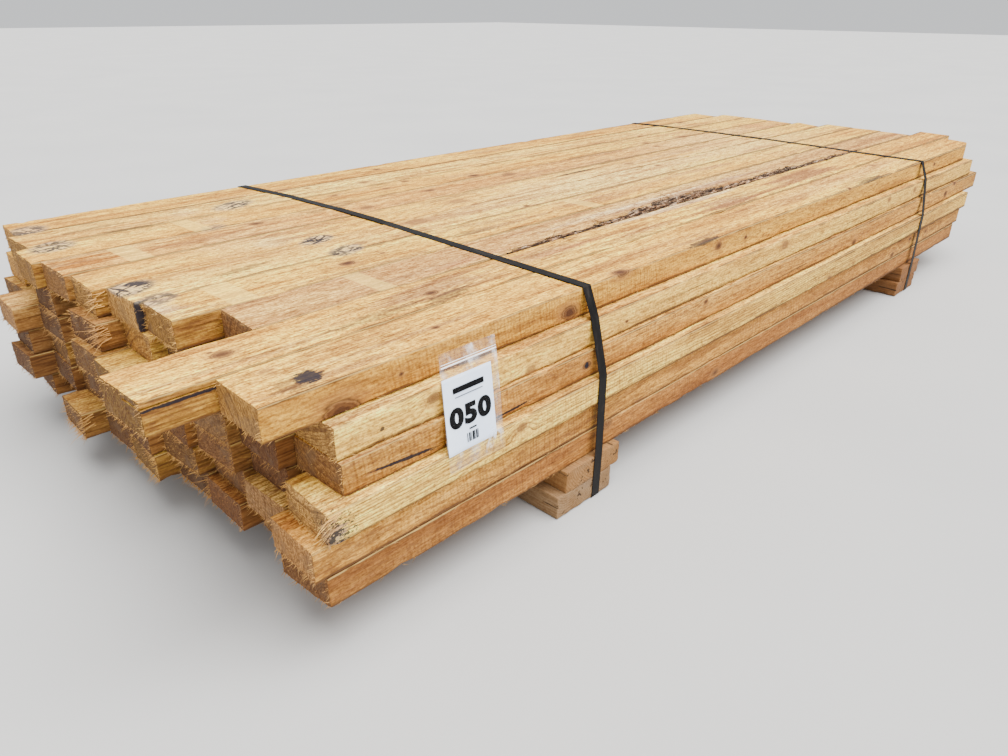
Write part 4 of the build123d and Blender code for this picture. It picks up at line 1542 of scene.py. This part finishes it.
def buildCard():
    # a little curled at its lower corner
    middle = tag["cardTop"] + tag["cardHeight"] / 2
    card, across, distance = addSheet("numberCard", tag["cardWidth"], middle, tag["cardHeight"], (24, 30))
    curl = 0.0010 * unit((distance - 0.10) / 0.035) * unit(-across / 0.04) ** 2
    setCoordinates(card, onPouch(across + tag["cardShift"], distance, 0.0010 + curl))
    thicken(card, tag["cardThickness"])
    layPiece(card, plainMaterial("whiteCard"))
    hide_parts("tag_card")

    # plain figures, a bar over them and a few ticks under them
    deselectAll()
    bpy.ops.object.text_add(location=(0, 0, 0))
    text = bpy.context.object
    text.name = "figures"
    text.data.body = tag["number"]
    text.data.size = tag["numberSize"]
    text.data.offset = tag["numberWeight"]
    text.data.space_character = tag["numberSpacing"]
    text.data.align_x = "CENTER"
    text.data.resolution_u = 6
    bpy.ops.object.convert(target="MESH")
    figures = bpy.context.object
    co = coordinates(figures)
    co[:, 0] *= tag["numberStretch"]
    co[:, 1] -= tag["numberDrop"]
    setCoordinates(figures, co)
    bars = list(tag["bars"])
    for tick, width in enumerate(tag["ticks"]):
        x = -0.0100 + tick * tag["tickStep"]
        bars.append(((x, -0.0930), (x + width, -0.0810)))
    marks = [addBox("mark", (*low, -0.0001), (*high, 0.0001)) for low, high in bars]
    inked = joinAll([figures] + marks, "cardPrint")
    co = coordinates(inked)
    setCoordinates(inked, onPouch(co[:, 0] + tag["cardShift"], tag["cardTop"] - co[:, 1], tag["inkOut"] + co[:, 2]))
    layPiece(inked, plainMaterial("printInk"))
    print("pouch and card built")


# camera, floor and light

view = {
    "place": (-1.63915, -1.17766, 0.75038),
    "azimuth": -45.968,
    "elevation": 26.099,
    "roll": 0.413,
    "lens": 27.0745,
}


def placeCamera():
    az, el, roll = (math.radians(view[key]) for key in ("azimuth", "elevation", "roll"))
    back = Vector((math.sin(az) * math.cos(el), -math.cos(az) * math.cos(el), math.sin(el)))
    right = Vector((0, 0, 1)).cross(back).normalized()
    up = back.cross(right)
    turnedRight = math.cos(roll) * right + math.sin(roll) * up
    turnedUp = -math.sin(roll) * right + math.cos(roll) * up
    camera = bpy.data.objects.new("camera", bpy.data.cameras.new("camera"))
    bpy.context.scene.collection.objects.link(camera)
    turn = Matrix((turnedRight, turnedUp, back)).transposed()
    camera.matrix_world = Matrix.Translation(view["place"]) @ turn.to_4x4()
    camera.data.lens = view["lens"]
    camera.data.sensor_width = 36
    camera.data.sensor_fit = "HORIZONTAL"
    camera.data.clip_start = 0.01
    bpy.context.scene.camera = camera


def addFloor():
    deselectAll()
    bpy.ops.mesh.primitive_plane_add(size=60, location=(0, 0, -0.0005))
    floor = bpy.context.object
    floor.name = "studioFloor"
    floor.data.materials.append(plainMaterial("paleFloor"))


lights = {
    "air": 0.88,                  # even pale light from all round
    "sky": {"lean": (0.16, -0.30), "spread": 60, "power": 8.3, "colour": (1.0, 0.985, 0.96)},
    "front": {"lean": (-0.55, -1.35), "spread": 50, "power": 1.2, "colour": (1.0, 0.98, 0.95)},
}


def addLights():
    world = bpy.data.worlds.new("studioAir")
    bpy.context.scene.world = world
    world.use_nodes = True
    background = world.node_tree.nodes["Background"]
    background.inputs[0].default_value = (0.96, 0.98, 1.0, 1)
    background.inputs[1].default_value = lights["air"]
    for name in ("sky", "front"):
        spec = lights[name]
        lamp = bpy.data.lights.new(name, "SUN")
        lamp.energy = spec["power"]
        lamp.color = spec["colour"]
        lamp.angle = math.radians(spec["spread"])
        holder = bpy.data.objects.new(name, lamp)
        bpy.context.scene.collection.objects.link(holder)
        toLamp = Vector((*spec["lean"], 1.0))
        holder.rotation_euler = toLamp.to_track_quat("Z", "Y").to_euler()


placeCamera()
addFloor()
addLights()
print("camera, floor and lights placed")
buildLayers()
buildBearers()
buildStraps()
buildPouch()
buildCard()
